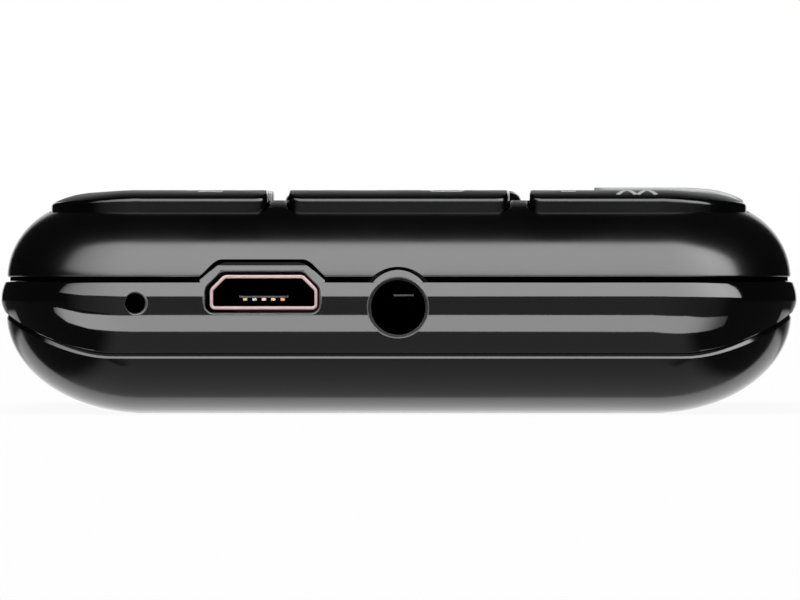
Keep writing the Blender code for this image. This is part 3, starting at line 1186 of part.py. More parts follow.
def screws(look):
    """The six screws, heads down, with a recess in each head."""
    head_top_z = SCREW_HEAD_BOTTOM_Z + SCREW_HEAD_HEIGHT
    for index, (x, y) in enumerate(screw_places(), start=1):
        head = circle(x, y, SCREW_HEAD_RADIUS, PIN_STEPS)
        shank = circle(x, y, SCREW_RADIUS, PIN_STEPS)
        recess = circle(x, y, SCREW_SLOT_RADIUS, PIN_STEPS)
        recess_z = SCREW_HEAD_BOTTOM_Z + SCREW_SLOT_DEPTH
        mesh_data = bmesh.new()
        loft(mesh_data, (at_height(recess, recess_z), at_height(recess, SCREW_HEAD_BOTTOM_Z),
                         at_height(head, SCREW_HEAD_BOTTOM_Z), at_height(head, head_top_z),
                         at_height(shank, head_top_z), at_height(shank, head_top_z + SCREW_LENGTH)))
        add_object(f"screw_{index}", mesh_data, look)


def main():
    """Model every piece."""
    remove_everything()
    housing_look = material("black_satin", (0.012, 0.012, 0.013), 0.3)
    gloss_look = material("black_gloss", (0.010, 0.010, 0.011), 0.08)
    cover_look = material("black_cover", (0.012, 0.012, 0.013), 0.18)
    key_look = material("key_black", (0.014, 0.014, 0.015), 0.22)
    grey_look = material("key_grey", (0.55, 0.56, 0.57), 0.3)
    glass_look = material("window", (0.008, 0.009, 0.011), 0.04)
    screen_look = material("screen", (0.03, 0.035, 0.045), 0.2)
    steel_look = material("steel", (0.62, 0.60, 0.58), 0.25, 1.0)
    shell_look = material("usb_steel", (0.72, 0.62, 0.58), 0.2, 1.0)
    gold_look = material("gold", (0.83, 0.62, 0.30), 0.25, 1.0)
    board_look = material("board_green", (0.02, 0.12, 0.05), 0.45)
    dark_look = material("dark_plastic", (0.02, 0.02, 0.02), 0.5)
    rubber_look = material("rubber", (0.05, 0.05, 0.055), 0.7)
    battery_look = material("battery_label", (0.30, 0.31, 0.33), 0.5)
    polymer_look = material("polymer_film", (0.45, 0.30, 0.08), 0.35)

    front_housing(housing_look)
    display(glass_look, screen_look, polymer_look)
    earpiece(steel_look, dark_look)
    for name, limits, radii, proud, edges in key_plans():
        key(name, limits, radii, proud, edges, grey_look if name == "key_end" else key_look)
    navigation(key_look, key_look)
    mid_frame(gloss_look)
    battery_cover(cover_look)
    battery(battery_look)
    board_stack({"board": board_look, "dome": polymer_look, "rubber": rubber_look, "steel": steel_look,
                 "gold": gold_look})
    usb_socket(shell_look, dark_look, gold_look)
    audio_jack(dark_look, steel_look)
    microphone(steel_look, rubber_look)
    loudspeaker(dark_look)
    vibration_unit(steel_look, steel_look)
    antenna(polymer_look)
    volume_key(key_look)
    volume_switch(dark_look)
    screws(steel_look)


main()
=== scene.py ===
"""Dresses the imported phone: fine shells, keys, ports, legends, materials, lights and the camera.

Every length here is in millimetres in the model's own frame, until build_mesh turns it into metres.
"""
import json
import math

import bmesh
import bpy
from mathutils import Matrix, Vector

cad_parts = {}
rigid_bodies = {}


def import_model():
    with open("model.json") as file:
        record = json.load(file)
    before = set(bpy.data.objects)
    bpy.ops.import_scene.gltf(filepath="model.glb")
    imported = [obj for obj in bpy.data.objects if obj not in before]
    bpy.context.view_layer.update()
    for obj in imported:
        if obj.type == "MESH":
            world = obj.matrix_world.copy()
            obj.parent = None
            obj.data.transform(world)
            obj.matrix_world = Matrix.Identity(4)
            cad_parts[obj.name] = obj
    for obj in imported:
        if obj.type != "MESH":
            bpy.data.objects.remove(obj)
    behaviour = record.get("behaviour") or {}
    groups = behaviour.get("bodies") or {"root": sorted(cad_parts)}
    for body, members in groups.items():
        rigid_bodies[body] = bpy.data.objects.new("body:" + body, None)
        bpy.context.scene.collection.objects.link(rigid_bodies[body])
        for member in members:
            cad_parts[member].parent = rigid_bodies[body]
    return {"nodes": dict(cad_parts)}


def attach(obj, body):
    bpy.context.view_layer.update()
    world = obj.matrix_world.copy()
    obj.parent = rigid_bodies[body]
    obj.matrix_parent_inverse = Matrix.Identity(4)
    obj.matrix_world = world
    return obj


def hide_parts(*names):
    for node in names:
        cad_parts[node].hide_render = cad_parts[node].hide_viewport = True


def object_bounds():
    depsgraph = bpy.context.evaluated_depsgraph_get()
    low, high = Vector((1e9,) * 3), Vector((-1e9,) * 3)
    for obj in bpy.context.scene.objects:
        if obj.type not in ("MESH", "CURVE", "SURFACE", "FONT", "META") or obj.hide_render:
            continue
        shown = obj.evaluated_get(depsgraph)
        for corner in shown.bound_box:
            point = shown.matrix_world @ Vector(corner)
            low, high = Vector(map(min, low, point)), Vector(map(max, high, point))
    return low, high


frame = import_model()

CAD_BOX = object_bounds()
MM = 0.001
QUARTER_TURN = math.pi / 2

# Body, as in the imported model
HALF_WIDTH = 27.7
HALF_LENGTH = 62.5
CORNER_RADIUS = 10.0
CORNER_X = HALF_WIDTH - CORNER_RADIUS
CORNER_Y = HALF_LENGTH - CORNER_RADIUS
SEAM_GAP = 0.3
CUT_OVERRUN = 1.0

CROWN_TOP_Z = 14.8
CROWN_BASE_Z = 9.4
CROWN_RISE = CROWN_TOP_Z - CROWN_BASE_Z
CROWN_SHOULDER = 6.0
CROWN_EDGE_INSET = 0.45
CROWN_FOOT_LEAN = 0.25
CROWN_CENTRE_INSET = CROWN_EDGE_INSET + CROWN_SHOULDER
HOUSING_WALL = 1.4
FRONT_SEAM_Z = 9.3
SKIRT_OUTER_INSET = 2.2
SKIRT_INNER_INSET = 2.8
SKIRT_BOTTOM_Z = 8.5
SKIRT_ROOT_Z = 11.05

LIP_GAP = 0.21
RABBET_DEPTH = 0.05
RABBET_GAP = 0.04

BULGE_Z = 7.9
BULGE_TOP_INSET = 0.35
FRAME_WALL = 1.9
REAR_SEAM_END_Z = 4.1
REAR_SEAM_SIDE_Z = 6.9
REAR_SEAM_RISE_START = math.radians(15)
DECK_BOTTOM_Z = 7.3
DECK_TOP_Z = 8.1
DECK_START_Y = -46.9

COVER_CENTRE_INSET = 10.0
COVER_ROUND_WIDTH = 9.6
COVER_ROUND_HEIGHT = 6.9
COVER_FLAT_INSET = 9.3
COVER_WALL = 1.1
COVER_RIM_RISE = 0.085
# The cover's rim from its outer surface upward: how far in, and how far up
COVER_BEVEL = ((0.0, 0.0), (0.015, 0.04), (0.1, 0.3), (0.12, 0.335), (0.2, 0.35))

KEYPAD_INSET = 3.5
KEYPAD_HALF_WIDTH = HALF_WIDTH - KEYPAD_INSET
KEYPAD_START_Y = KEYPAD_INSET - HALF_LENGTH
KEY_GAP = 1.5
KEY_LENGTH = 9.8
KEY_PITCH = KEY_LENGTH + KEY_GAP
MIDDLE_KEY_HALF = 7.6
KEY_PROUD = 0.7
END_KEY_PROUD = 1.04
END_KEY_DISH = 0.08
KEY_CORNER = 0.9
KEYPAD_CORNER = CORNER_RADIUS - KEYPAD_INSET
KEY_BOTTOM_Z = 12.32
OPENING_GAP = 0.16
KEY_ROWS = (("key_star", "key_0", "key_hash"), ("key_7", "key_8", "key_9"),
            ("key_4", "key_5", "key_6"), ("key_1", "key_2", "key_3"))

NAV_HALF_WIDTH = 8.4
NAV_START_Y = KEYPAD_START_Y + len(KEY_ROWS) * KEY_PITCH
NAV_LENGTH = 20.0
NAV_CENTRE_Y = NAV_START_Y + NAV_LENGTH / 2
NAV_CORNER = 5.0
NAV_PROUD = 0.7
NAV_ROUND = 0.85
NAV_ROUND_HEIGHT = 0.75
NAV_CLEARANCE = 0.35
NAV_SIDE_GAP = 5.2
OK_RADIUS = 4.6
OK_GAP = 0.4
OK_PROUD = 0.45

WINDOW_HALF_WIDTH = 21.5
WINDOW_START_Y = 8.9
WINDOW_END_Y = 54.4
WINDOW_CORNER = 2.5
WINDOW_THICKNESS = 0.75
EARPIECE_Y = 57.3

USB_X = -9.4
SOCKET_X = -9.3
USB_BOTTOM_Z = 7.21
USB_WIDTH = 7.5
USB_HEIGHT = 2.42
USB_TOP_CHAMFER = 1.0
USB_WALL = 0.25
USB_DEPTH = 5.4
USB_FRONT_Y = 0.4 - HALF_LENGTH
JACK_Z = 7.37
JACK_HOLE_RADIUS = 2.02
JACK_BORE_RADIUS = 1.8
JACK_LIP_Z = 7.6
JACK_LIP_RADIUS = 2.38
PORT_SEAT_Y = 2.2 - HALF_LENGTH
JACK_BODY_END_Y = PORT_SEAT_Y + 12.8
MIC_X = -18.2
MIC_Z = 7.67
MIC_HOLE_RADIUS = 0.7

BATTERY_HALF_WIDTH = 17.0
BATTERY_START_Y = -43.5
BATTERY_END_Y = 9.5
BATTERY_BOTTOM_Z = 1.5
BATTERY_TOP_Z = 6.9
BAY_CLEARANCE = 0.4
BAY_WALL = 1.0
SCREW_X = 23.3
SCREW_YS = (-39.0, 8.0, 46.0)
VOLUME_Y = 20.0
SPEAKER_Y = 44.5

# How finely the shells are made
CORNER_STEPS = 20
SHOULDER_STEPS = 22
EDGE_ROUND = 0.14
KEY_FRONT_LIFT = 0.12
KEY_SIDE_FALL = 0.4
KEY_FALL_POWER = 1.25
KEY_FALL_START = 18.5


def build_mesh(name, mesh_data, looks):
    """Turn a bmesh in millimetres into an object in metres, with faces facing out."""
    bmesh.ops.recalc_face_normals(mesh_data, faces=mesh_data.faces[:])
    bmesh.ops.scale(mesh_data, vec=(MM, MM, MM), verts=mesh_data.verts[:])
    mesh = bpy.data.meshes.new(name)
    mesh_data.to_mesh(mesh)
    mesh_data.free()
    made = bpy.data.objects.new(name, mesh)
    bpy.context.scene.collection.objects.link(made)
    for look in looks:
        mesh.materials.append(look)
    return made


def loft(mesh_data, rings, closed=False, capped=True, material_index=0, bands=None):
    """Skin a list of rings with the same number of points, with one look or one for each band."""
    rows = [[mesh_data.verts.new(point) for point in ring] for ring in rings]
    pairs = list(zip(rows, rows[1:]))
    if closed:
        pairs.append((rows[-1], rows[0]))
    count = len(rows[0])
    for number, (lower, upper) in enumerate(pairs):
        for index in range(count):
            following = (index + 1) % count
            face = mesh_data.faces.new((lower[index], lower[following], upper[following], upper[index]))
            face.material_index = bands[number] if bands else material_index
    if not closed and capped:
        mesh_data.faces.new(rows[0]).material_index = material_index
        mesh_data.faces.new(rows[-1]).material_index = material_index
    return rows


def combine(target, tool, operation):
    """Join a tool to a piece, or cut it away, with an exact Boolean that is applied at once."""
    step = target.modifiers.new("shape", "BOOLEAN")
    step.operation = operation
    step.solver = "EXACT"
    step.object = tool
    shaped = bpy.data.meshes.new_from_object(target.evaluated_get(bpy.context.evaluated_depsgraph_get()))
    target.modifiers.remove(step)
    target.data = shaped
    bpy.data.objects.remove(tool)


def lifted(outline, z):
    """A flat outline at one height."""
    return [(x, y, z) for x, y in outline]


def along_y(profile, y):
    """A profile of x and z at one place along the phone."""
    return [(x, y, z) for x, z in profile]


def circle(centre_a, centre_b, radius, steps=64):
    """Points round a circle."""
    return [(centre_a + radius * math.cos(math.tau * step / steps),
             centre_b + radius * math.sin(math.tau * step / steps)) for step in range(steps)]


def rounded_polygon(corners, radii, steps=6):
    """A convex outline, anticlockwise, with each corner rounded by its own radius."""
    outline = []
    count = len(corners)
    for index in range(count):
        here = Vector(corners[index])
        before = (Vector(corners[index - 1]) - here).normalized()
        after = (Vector(corners[(index + 1) % count]) - here).normalized()
        radius = radii[index]
        if radius <= 0:
            outline.append(tuple(here))
            continue
        half = math.acos(max(-1.0, min(1.0, before.dot(after)))) / 2
        centre = here + (before + after).normalized() * (radius / math.sin(half))
        start = here + before * (radius / math.tan(half)) - centre
        end = here + after * (radius / math.tan(half)) - centre
        turn = math.atan2(start.x * end.y - start.y * end.x, start.dot(end))
        for step in range(steps + 1):
            angle = turn * step / steps
            cosine, sine = math.cos(angle), math.sin(angle)
            outline.append((centre.x + start.x * cosine - start.y * sine,
                            centre.y + start.x * sine + start.y * cosine))
    return outline


def box_outline(low_x, high_x, low_y, high_y, radii, steps=6):
    """A rectangle with rounded corners, anticlockwise from low x and low y."""
    corners = ((low_x, low_y), (high_x, low_y), (high_x, high_y), (low_x, high_y))
    return rounded_polygon(corners, radii if isinstance(radii, (list, tuple)) else [radii] * 4, steps)


def dense(outline, spacing=0.8):
    """The same outline with its long straight stretches divided."""
    points = []
    for index, start in enumerate(outline):
        end = outline[(index + 1) % len(outline)]
        pieces = max(1, math.ceil(math.dist(start, end) / spacing))
        for piece in range(pieces):
            share = piece / pieces
            points.append((start[0] + (end[0] - start[0]) * share, start[1] + (end[1] - start[1]) * share))
    return points


def stations(steps=CORNER_STEPS):
    """Points round the plan: the corner arc's centre and the outward angle at each."""
    found = []
    for index, (side_x, side_y) in enumerate(((1, -1), (1, 1), (-1, 1), (-1, -1))):
        for step in range(steps + 1):
            angle = QUARTER_TURN * (index - 1 + step / steps)
            found.append((side_x * CORNER_X, side_y * CORNER_Y, angle))
    return found


def plan_point(station, inset, z):
    """The point at one station, at an inset from the widest outline."""
    x, y, angle = station
    reach = CORNER_RADIUS - inset
    return (x + reach * math.cos(angle), y + reach * math.sin(angle), z)


def inset_at(x, y):
    """How far a place lies inside the body's widest outline."""
    past_x = abs(x) - CORNER_X
    past_y = abs(y) - CORNER_Y
    if past_x > 0 and past_y > 0:
        return CORNER_RADIUS - math.hypot(past_x, past_y)
    return CORNER_RADIUS - max(past_x, past_y)


def outward_at(x, y):
    """The level direction out of the body at a place."""
    past_x = abs(x) - CORNER_X
    past_y = abs(y) - CORNER_Y
    if past_x > 0 and past_y > 0:
        return Vector((math.copysign(past_x, x), math.copysign(past_y, y), 0)).normalized()
    if past_x > past_y:
        return Vector((math.copysign(1, x), 0, 0))
    return Vector((0, math.copysign(1, y), 0))


def crown_z(inset):
    """Height of the front shell's outer surface at an inset."""
    across = (CROWN_CENTRE_INSET - inset) / CROWN_SHOULDER
    if across <= 0:
        return CROWN_TOP_Z
    return CROWN_BASE_Z + CROWN_RISE * math.sqrt(max(0.0, 1 - across ** 2))


def crown_at(x, y):
    """Height of the front shell's outer surface over a place in plan."""
    return crown_z(inset_at(x, y))


def rear_seam_z(station):
    """Height of the seam between frame and cover."""
    from_end = math.acos(max(-1.0, min(1.0, -math.sin(station[2]))))
    rise = (from_end - REAR_SEAM_RISE_START) / (QUARTER_TURN - REAR_SEAM_RISE_START)
    rise = min(max(rise, 0.0), 1.0)
    return REAR_SEAM_END_Z + (REAR_SEAM_SIDE_Z - REAR_SEAM_END_Z) * rise * rise * (3 - 2 * rise)


def cover_inset(z):
    """Inset of the cover's outer surface at a height."""
    down = min(1.0, max(0.0, (COVER_ROUND_HEIGHT - z) / COVER_ROUND_HEIGHT))
    return COVER_CENTRE_INSET - COVER_ROUND_WIDTH * math.sqrt(1 - down ** 2)


def frame_inset(z, seam_z):
    """Inset of the frame's outer surface at a height, over a seam at seam_z."""
    if z >= BULGE_Z:
        return BULGE_TOP_INSET * ((z - BULGE_Z) / (FRONT_SEAM_Z - BULGE_Z)) ** 2
    return cover_inset(seam_z) * ((BULGE_Z - z) / (BULGE_Z - seam_z)) ** 2


def lip_inset(z):
    """Inset of the port lips' faces, which carry on the frame's surface above the seam."""
    if z <= FRONT_SEAM_Z:
        return frame_inset(max(z, BULGE_Z), REAR_SEAM_END_Z)
    share = (z - FRONT_SEAM_Z) / LIP_HEIGHT
    return BULGE_TOP_INSET + LIP_LEAN * (share - share * share / 2)


LIP_HEIGHT = 1.2
LIP_LEAN = 0.5


def end_surface_y(z):
    """Where the ports' end wall is at a height."""
    if z > BULGE_Z:
        return lip_inset(z) - HALF_LENGTH
    return frame_inset(z, REAR_SEAM_END_Z) - HALF_LENGTH


def smooth_by(made, normal_at, tolerance=0.02, sharp=math.radians(30)):
    """Shade smooth, and give corners that lie on a known surface that surface's own normal."""
    mesh = made.data
    mesh.shade_smooth()
    mesh.set_sharp_from_angle(angle=sharp)
    normals = [tuple(item.vector) for item in mesh.corner_normals]
    places = [vert.co / MM for vert in mesh.vertices]
    known = {}
    for face in mesh.polygons:
        for loop in face.loop_indices:
            index = mesh.loops[loop].vertex_index
            if index not in known:
                known[index] = normal_at(places[index], tolerance)
            found = known[index]
            if found is not None and found.dot(face.normal) > 0.9:
                normals[loop] = tuple(found)
    mesh.normals_split_custom_set(normals)


def housing_normal(place, tolerance):
    """Normal of the front shell's outer surface, where a place lies on it."""
    inset = inset_at(place.x, place.y)
    if inset < CROWN_EDGE_INSET - tolerance or place.z < FRONT_SEAM_Z + SEAM_GAP / 2 + EDGE_ROUND:
        return None
    if abs(place.z - crown_z(inset)) > tolerance * 4:
        return None
    across = (CROWN_CENTRE_INSET - inset) / CROWN_SHOULDER
    if across <= 0:
        return Vector((0, 0, 1))
    up = (place.z - CROWN_BASE_Z + CROWN_FOOT_LEAN) / CROWN_RISE
    return (outward_at(place.x, place.y) * (across / CROWN_SHOULDER)
            + Vector((0, 0, up / CROWN_RISE))).normalized()


def band_normal(place, tolerance):
    """Normal of the frame's outer band, where a place lies on it."""
    inset = inset_at(place.x, place.y)
    outward = outward_at(place.x, place.y)
    seam = rear_seam_z((0, 0, math.atan2(outward.y, outward.x)))
    low = seam + SEAM_GAP / 2 + EDGE_ROUND
    high = FRONT_SEAM_Z - SEAM_GAP / 2 - EDGE_ROUND
    if not low - tolerance < place.z < high + tolerance:
        return None
    if abs(inset - frame_inset(place.z, seam)) > tolerance:
        return None
    if place.z >= BULGE_Z:
        lean = 2 * BULGE_TOP_INSET * (place.z - BULGE_Z) / (FRONT_SEAM_Z - BULGE_Z) ** 2
    else:
        lean = -2 * cover_inset(seam) * (BULGE_Z - place.z) / (BULGE_Z - seam) ** 2
    return (outward + Vector((0, 0, lean))).normalized()


def cover_normal(place, tolerance):
    """Normal of the cover's outer surface, where a place lies on it."""
    if place.z <= tolerance:
        return Vector((0, 0, -1))
    inset = inset_at(place.x, place.y)
    outward = outward_at(place.x, place.y)
    rim = rear_seam_z((0, 0, math.atan2(outward.y, outward.x))) + COVER_RIM_RISE
    if place.z > rim - COVER_BEVEL[-1][1] + tolerance or inset > COVER_FLAT_INSET - tolerance:
        return None
    if abs(inset - cover_inset(place.z)) > tolerance * 2:
        return None
    across = (COVER_CENTRE_INSET - inset) / COVER_ROUND_WIDTH
    down = (COVER_ROUND_HEIGHT - place.z) / COVER_ROUND_HEIGHT
    return (outward * (across / COVER_ROUND_WIDTH) - Vector((0, 0, down / COVER_ROUND_HEIGHT))).normalized()


def matte_top(made, look, lowest_z, steepest=0.9):
    """Give a piece's upward faces a look of their own."""
    mesh = made.data
    mesh.materials.append(look)
    index = len(mesh.materials) - 1
    for face in mesh.polygons:
        if face.normal.z > steepest and face.center.z > lowest_z * MM:
            face.material_index = index


def matte_base(made, look, steepest=0.995):
    """Give a piece's flat underside a look of its own."""
    mesh = made.data
    mesh.materials.append(look)
    index = len(mesh.materials) - 1
    for face in mesh.polygons:
        if face.normal.z < -steepest and face.center.z < 0.01 * MM:
            face.material_index = index


def edge_round(inset, z, rise):
    """Rows that round a shell's rim, from the outer surface in to its end face."""
    rows = []
    for step in range(1, 4):
        angle = QUARTER_TURN * step / 3
        rows.append((inset + EDGE_ROUND * (1 - math.cos(angle)), z + rise * EDGE_ROUND * math.sin(angle)))
    return rows


def key_plans():
    """Name, plan rectangle, corner radii and height of each key."""
    columns = ((-KEYPAD_HALF_WIDTH, -MIDDLE_KEY_HALF - KEY_GAP), (-MIDDLE_KEY_HALF, MIDDLE_KEY_HALF),
               (MIDDLE_KEY_HALF + KEY_GAP, KEYPAD_HALF_WIDTH))
    plans = []
    for row, names in enumerate(KEY_ROWS):
        low_y = KEYPAD_START_Y + row * KEY_PITCH
        for column, (name, (low_x, high_x)) in enumerate(zip(names, columns)):
            radii = [KEY_CORNER] * 4
            if row == 0 and column == 0:
                radii[0] = KEYPAD_CORNER
            if row == 0 and column == 2:
                radii[1] = KEYPAD_CORNER
            plans.append((name, (low_x, high_x, low_y, low_y + KEY_LENGTH), radii, KEY_PROUD))
    inner_x = NAV_HALF_WIDTH + NAV_SIDE_GAP
    side_length = (NAV_LENGTH - KEY_GAP) / 2
    upper_y = NAV_START_Y + side_length + KEY_GAP
    for name, side, low_y, proud in (("key_call", -1, NAV_START_Y, KEY_PROUD),
                                     ("key_end", 1, NAV_START_Y, END_KEY_PROUD),
                                     ("key_soft_left", -1, upper_y, KEY_PROUD),
                                     ("key_soft_right", 1, upper_y, KEY_PROUD)):
        low_x, high_x = sorted((side * inner_x, side * KEYPAD_HALF_WIDTH))
        plans.append((name, (low_x, high_x, low_y, low_y + side_length), [KEY_CORNER] * 4, proud))
    return plans


def key_outline(limits, radii, amount, steps=8):
    """A key's plan, grown or shrunk, with the same number of points whatever the amount."""
    low_x, high_x, low_y, high_y = limits
    base = dense(box_outline(low_x, high_x, low_y, high_y, radii, steps))
    if abs(amount) < 1e-9:
        return base
    count = len(base)
    moved = []
    for index, (x, y) in enumerate(base):
        before, after = base[index - 1], base[(index + 1) % count]
        along = Vector((after[0] - before[0], after[1] - before[1])).normalized()
        moved.append((x + along.y * amount, y - along.x * amount))
    return moved


# Each opening's edge is rounded: how far it is grown, and how far below the crown that is
OPENING_EDGE = ((0.0, 0.16), (0.015, 0.1), (0.05, 0.05), (0.1, 0.0175), (0.15, 0.0), (0.21, -0.03))


def key_opening(mesh_data, limits, radii):
    """A cutter for one key's opening, with a rounded edge that follows the crown."""
    rows = [lifted(key_outline(limits, radii, 0), KEY_BOTTOM_Z - SEAM_GAP)]
    for grown, depth in OPENING_EDGE:
        rows.append([(x, y, crown_at(x, y) - depth) for x, y in key_outline(limits, radii, grown)])
    rows.append(lifted(key_outline(limits, radii, OPENING_EDGE[-1][0]), CROWN_TOP_Z + CUT_OVERRUN))
    loft(mesh_data, rows, bands=[1] + [0] * (len(rows) - 2))


def front_shell(look):
    """The front shell with its rounded openings, the window's pocket and the notches for the lips."""
    rim_z = FRONT_SEAM_Z + SEAM_GAP / 2
    section = []
    start = math.asin((rim_z + EDGE_ROUND - CROWN_BASE_Z) / CROWN_RISE)
    for step in range(SHOULDER_STEPS + 1):
        angle = QUARTER_TURN + (start - QUARTER_TURN) * step / SHOULDER_STEPS
        section.append((CROWN_CENTRE_INSET - CROWN_SHOULDER * math.cos(angle),
                        CROWN_BASE_Z + CROWN_RISE * math.sin(angle)))
    section += edge_round(*section[-1], -1)
    bands = [0] * (len(section) - 1)
    section += [(section[-1][0] + RABBET_DEPTH, rim_z),
                (section[-1][0] + RABBET_DEPTH, rim_z - SEAM_GAP + RABBET_GAP),
                (SKIRT_OUTER_INSET - 0.5, rim_z - SEAM_GAP + RABBET_GAP), (SKIRT_OUTER_INSET - 0.5, rim_z),
                (SKIRT_OUTER_INSET, rim_z), (SKIRT_OUTER_INSET, SKIRT_BOTTOM_Z),
                (SKIRT_INNER_INSET, SKIRT_BOTTOM_Z), (SKIRT_INNER_INSET, SKIRT_ROOT_Z)]
    bands += [1] * (len(section) - 1 - len(bands))
    inner_rise = CROWN_RISE - HOUSING_WALL
    inner_shoulder = CROWN_SHOULDER - HOUSING_WALL
    start = math.asin((SKIRT_ROOT_Z - CROWN_BASE_Z) / inner_rise)
    for step in range(9):
        angle = start + (QUARTER_TURN - start) * step / 8
        section.append((CROWN_CENTRE_INSET - inner_shoulder * math.cos(angle),
                        CROWN_BASE_Z + inner_rise * math.sin(angle)))
    ring = stations()
    mesh_data = bmesh.new()
    bands += [0] * (len(section) - 1 - len(bands))
    loft(mesh_data, [[plan_point(place, inset, z) for place in ring] for inset, z in section], bands=bands)
    made = build_mesh("front_shell", mesh_data, [look, LOOKS["groove"]])

    mesh_data = bmesh.new()
    for _name, limits, radii, _proud in key_plans():
        grown = tuple(value + sign * OPENING_GAP for value, sign in zip(limits, (-1, 1, -1, 1)))
        key_opening(mesh_data, grown, [radius + OPENING_GAP for radius in radii])
    nav = (-NAV_HALF_WIDTH - NAV_CLEARANCE, NAV_HALF_WIDTH + NAV_CLEARANCE,
           NAV_START_Y - NAV_CLEARANCE, NAV_START_Y + NAV_LENGTH + NAV_CLEARANCE)
    key_opening(mesh_data, nav, [NAV_CORNER + NAV_CLEARANCE] * 4)
    key_opening(mesh_data, (-5.5, 5.5, EARPIECE_Y - 0.65, EARPIECE_Y + 0.65), [0.6499] * 4)
    combine(made, build_mesh("openings", mesh_data, []), "DIFFERENCE")

    mesh_data = bmesh.new()
    pocket = (-WINDOW_HALF_WIDTH - 0.25, WINDOW_HALF_WIDTH + 0.25, WINDOW_START_Y - 0.25, WINDOW_END_Y + 0.25)
    ledge = box_outline(-WINDOW_HALF_WIDTH + 1.6, WINDOW_HALF_WIDTH - 1.6, WINDOW_START_Y + 1.6,
                        WINDOW_END_Y - 1.6, WINDOW_CORNER, 8)
    rows = [lifted(ledge, CROWN_TOP_Z - HOUSING_WALL - CUT_OVERRUN), lifted(ledge, CROWN_TOP_Z - 1.05)]
    for amount, depth in ((0, 1.05), (0, 0.12), (0.04, 0.04), (0.12, 0), (0.2, -0.2)):
        rows.append(lifted(box_outline(pocket[0] - amount, pocket[1] + amount, pocket[2] - amount,
                                       pocket[3] + amount, WINDOW_CORNER + 0.25 + amount, 8),
                           CROWN_TOP_Z - depth))
    loft(mesh_data, rows)
    combine(made, build_mesh("pocket", mesh_data, []), "DIFFERENCE")

    for tool in (lip_notch(usb_lip_half, USB_LIP_TOP_Z), lip_notch(jack_lip_half, JACK_LIP_Z + JACK_LIP_RADIUS)):
        combine(made, tool, "DIFFERENCE")
    mesh_data = bmesh.new()
    for x, half, top_z in ((0.0, 3.2, JACK_Z + 2.45), (USB_X, USB_WIDTH / 2, USB_BOTTOM_Z + USB_HEIGHT),
                           (MIC_X, 2.0, MIC_Z + 2.0)):
        block(mesh_data, (x - half - SEAM_GAP, PORT_SEAT_Y - SEAM_GAP, SKIRT_BOTTOM_Z - CUT_OVERRUN),
              (x + half + SEAM_GAP, PORT_SEAT_Y + CUT_OVERRUN + 0.5, top_z + SEAM_GAP))
    block(mesh_data, (23.8, VOLUME_Y - 8.8, SKIRT_BOTTOM_Z - CUT_OVERRUN), (25.8, VOLUME_Y + 8.8, 9.35))
    combine(made, build_mesh("skirt_gaps", mesh_data, []), "DIFFERENCE")
    matte_top(made, LOOKS["deck"], CROWN_TOP_Z - 0.4)
    smooth_by(made, housing_normal)
    return made


def block(mesh_data, low, high):
    """A plain box between two corners."""
    outline = ((low[0], low[1]), (high[0], low[1]), (high[0], high[1]), (low[0], high[1]))
    loft(mesh_data, (lifted(outline, low[2]), lifted(outline, high[2])))


USB_LIP_FOOT = 4.36
USB_LIP_TOP = 2.95
USB_LIP_TOP_Z = 10.5
LIP_CORNER = 0.35


def usb_lip_half(z, grown=0.0):
    """Half width of the lip over the socket at a height."""
    top_z = USB_LIP_TOP_Z + grown
    if z <= FRONT_SEAM_Z:
        return USB_LIP_FOOT + grown
    half = USB_LIP_FOOT + grown - (USB_LIP_FOOT - USB_LIP_TOP) * (z - FRONT_SEAM_Z) / (top_z - FRONT_SEAM_Z)
    near_top = (z - (top_z - LIP_CORNER)) / LIP_CORNER
    if near_top > 0:
        half -= LIP_CORNER * (1 - math.sqrt(max(0.0, 1 - min(near_top, 1.0) ** 2)))
    return half


def jack_lip_half(z, grown=0.0):
    """Half width of the lip over the jack at a height."""
    return math.sqrt(max(0.0004, (JACK_LIP_RADIUS + grown) ** 2 - (z - JACK_LIP_Z) ** 2))


def lip_heights(low_z, top_z):
    """Heights for a lip's rows, closer together near its top."""
    return [low_z + (top_z - low_z) * math.sin(QUARTER_TURN * step / 22) for step in range(23)]


def lip_notch(half_at, top_z):
    """The cutter that leaves a seam gap round a lip."""
    centre_x = USB_X if half_at is usb_lip_half else 0.0
    mesh_data = bmesh.new()
    rows = []
    back_y = SKIRT_OUTER_INSET - 0.1 - HALF_LENGTH
    for z in lip_heights(BULGE_Z, top_z + LIP_GAP):
        half = half_at(z, LIP_GAP)
        rows.append([(centre_x - half, -HALF_LENGTH - CUT_OVERRUN, z), (centre_x + half, -HALF_LENGTH - CUT_OVERRUN, z),
                     (centre_x + half, back_y, z), (centre_x - half, back_y, z)])
    loft(mesh_data, rows, material_index=1)
    return build_mesh("notch", mesh_data, [])


def port_lip(half_at, top_z, look):
    """A lip that carries the frame's face up round a port."""
    centre_x = USB_X if half_at is usb_lip_half else 0.0
    back_y = FRAME_WALL - HALF_LENGTH
    mesh_data = bmesh.new()
    rows = []
    for z in lip_heights(BULGE_Z + 0.001, top_z):
        half = half_at(z)
        front_y = end_surface_y(z)
        soft = min(0.1, half / 2)
        rows.append([(centre_x - half, back_y, z), (centre_x - half, front_y + soft, z),
                     (centre_x - half + soft * 0.3, front_y + soft * 0.3, z), (centre_x - half + soft, front_y, z),
                     (centre_x + half - soft, front_y, z), (centre_x + half - soft * 0.3, front_y + soft * 0.3, z),
                     (centre_x + half, front_y + soft, z), (centre_x + half, back_y, z)])
    loft(mesh_data, rows)
    return build_mesh("lip", mesh_data, [look])


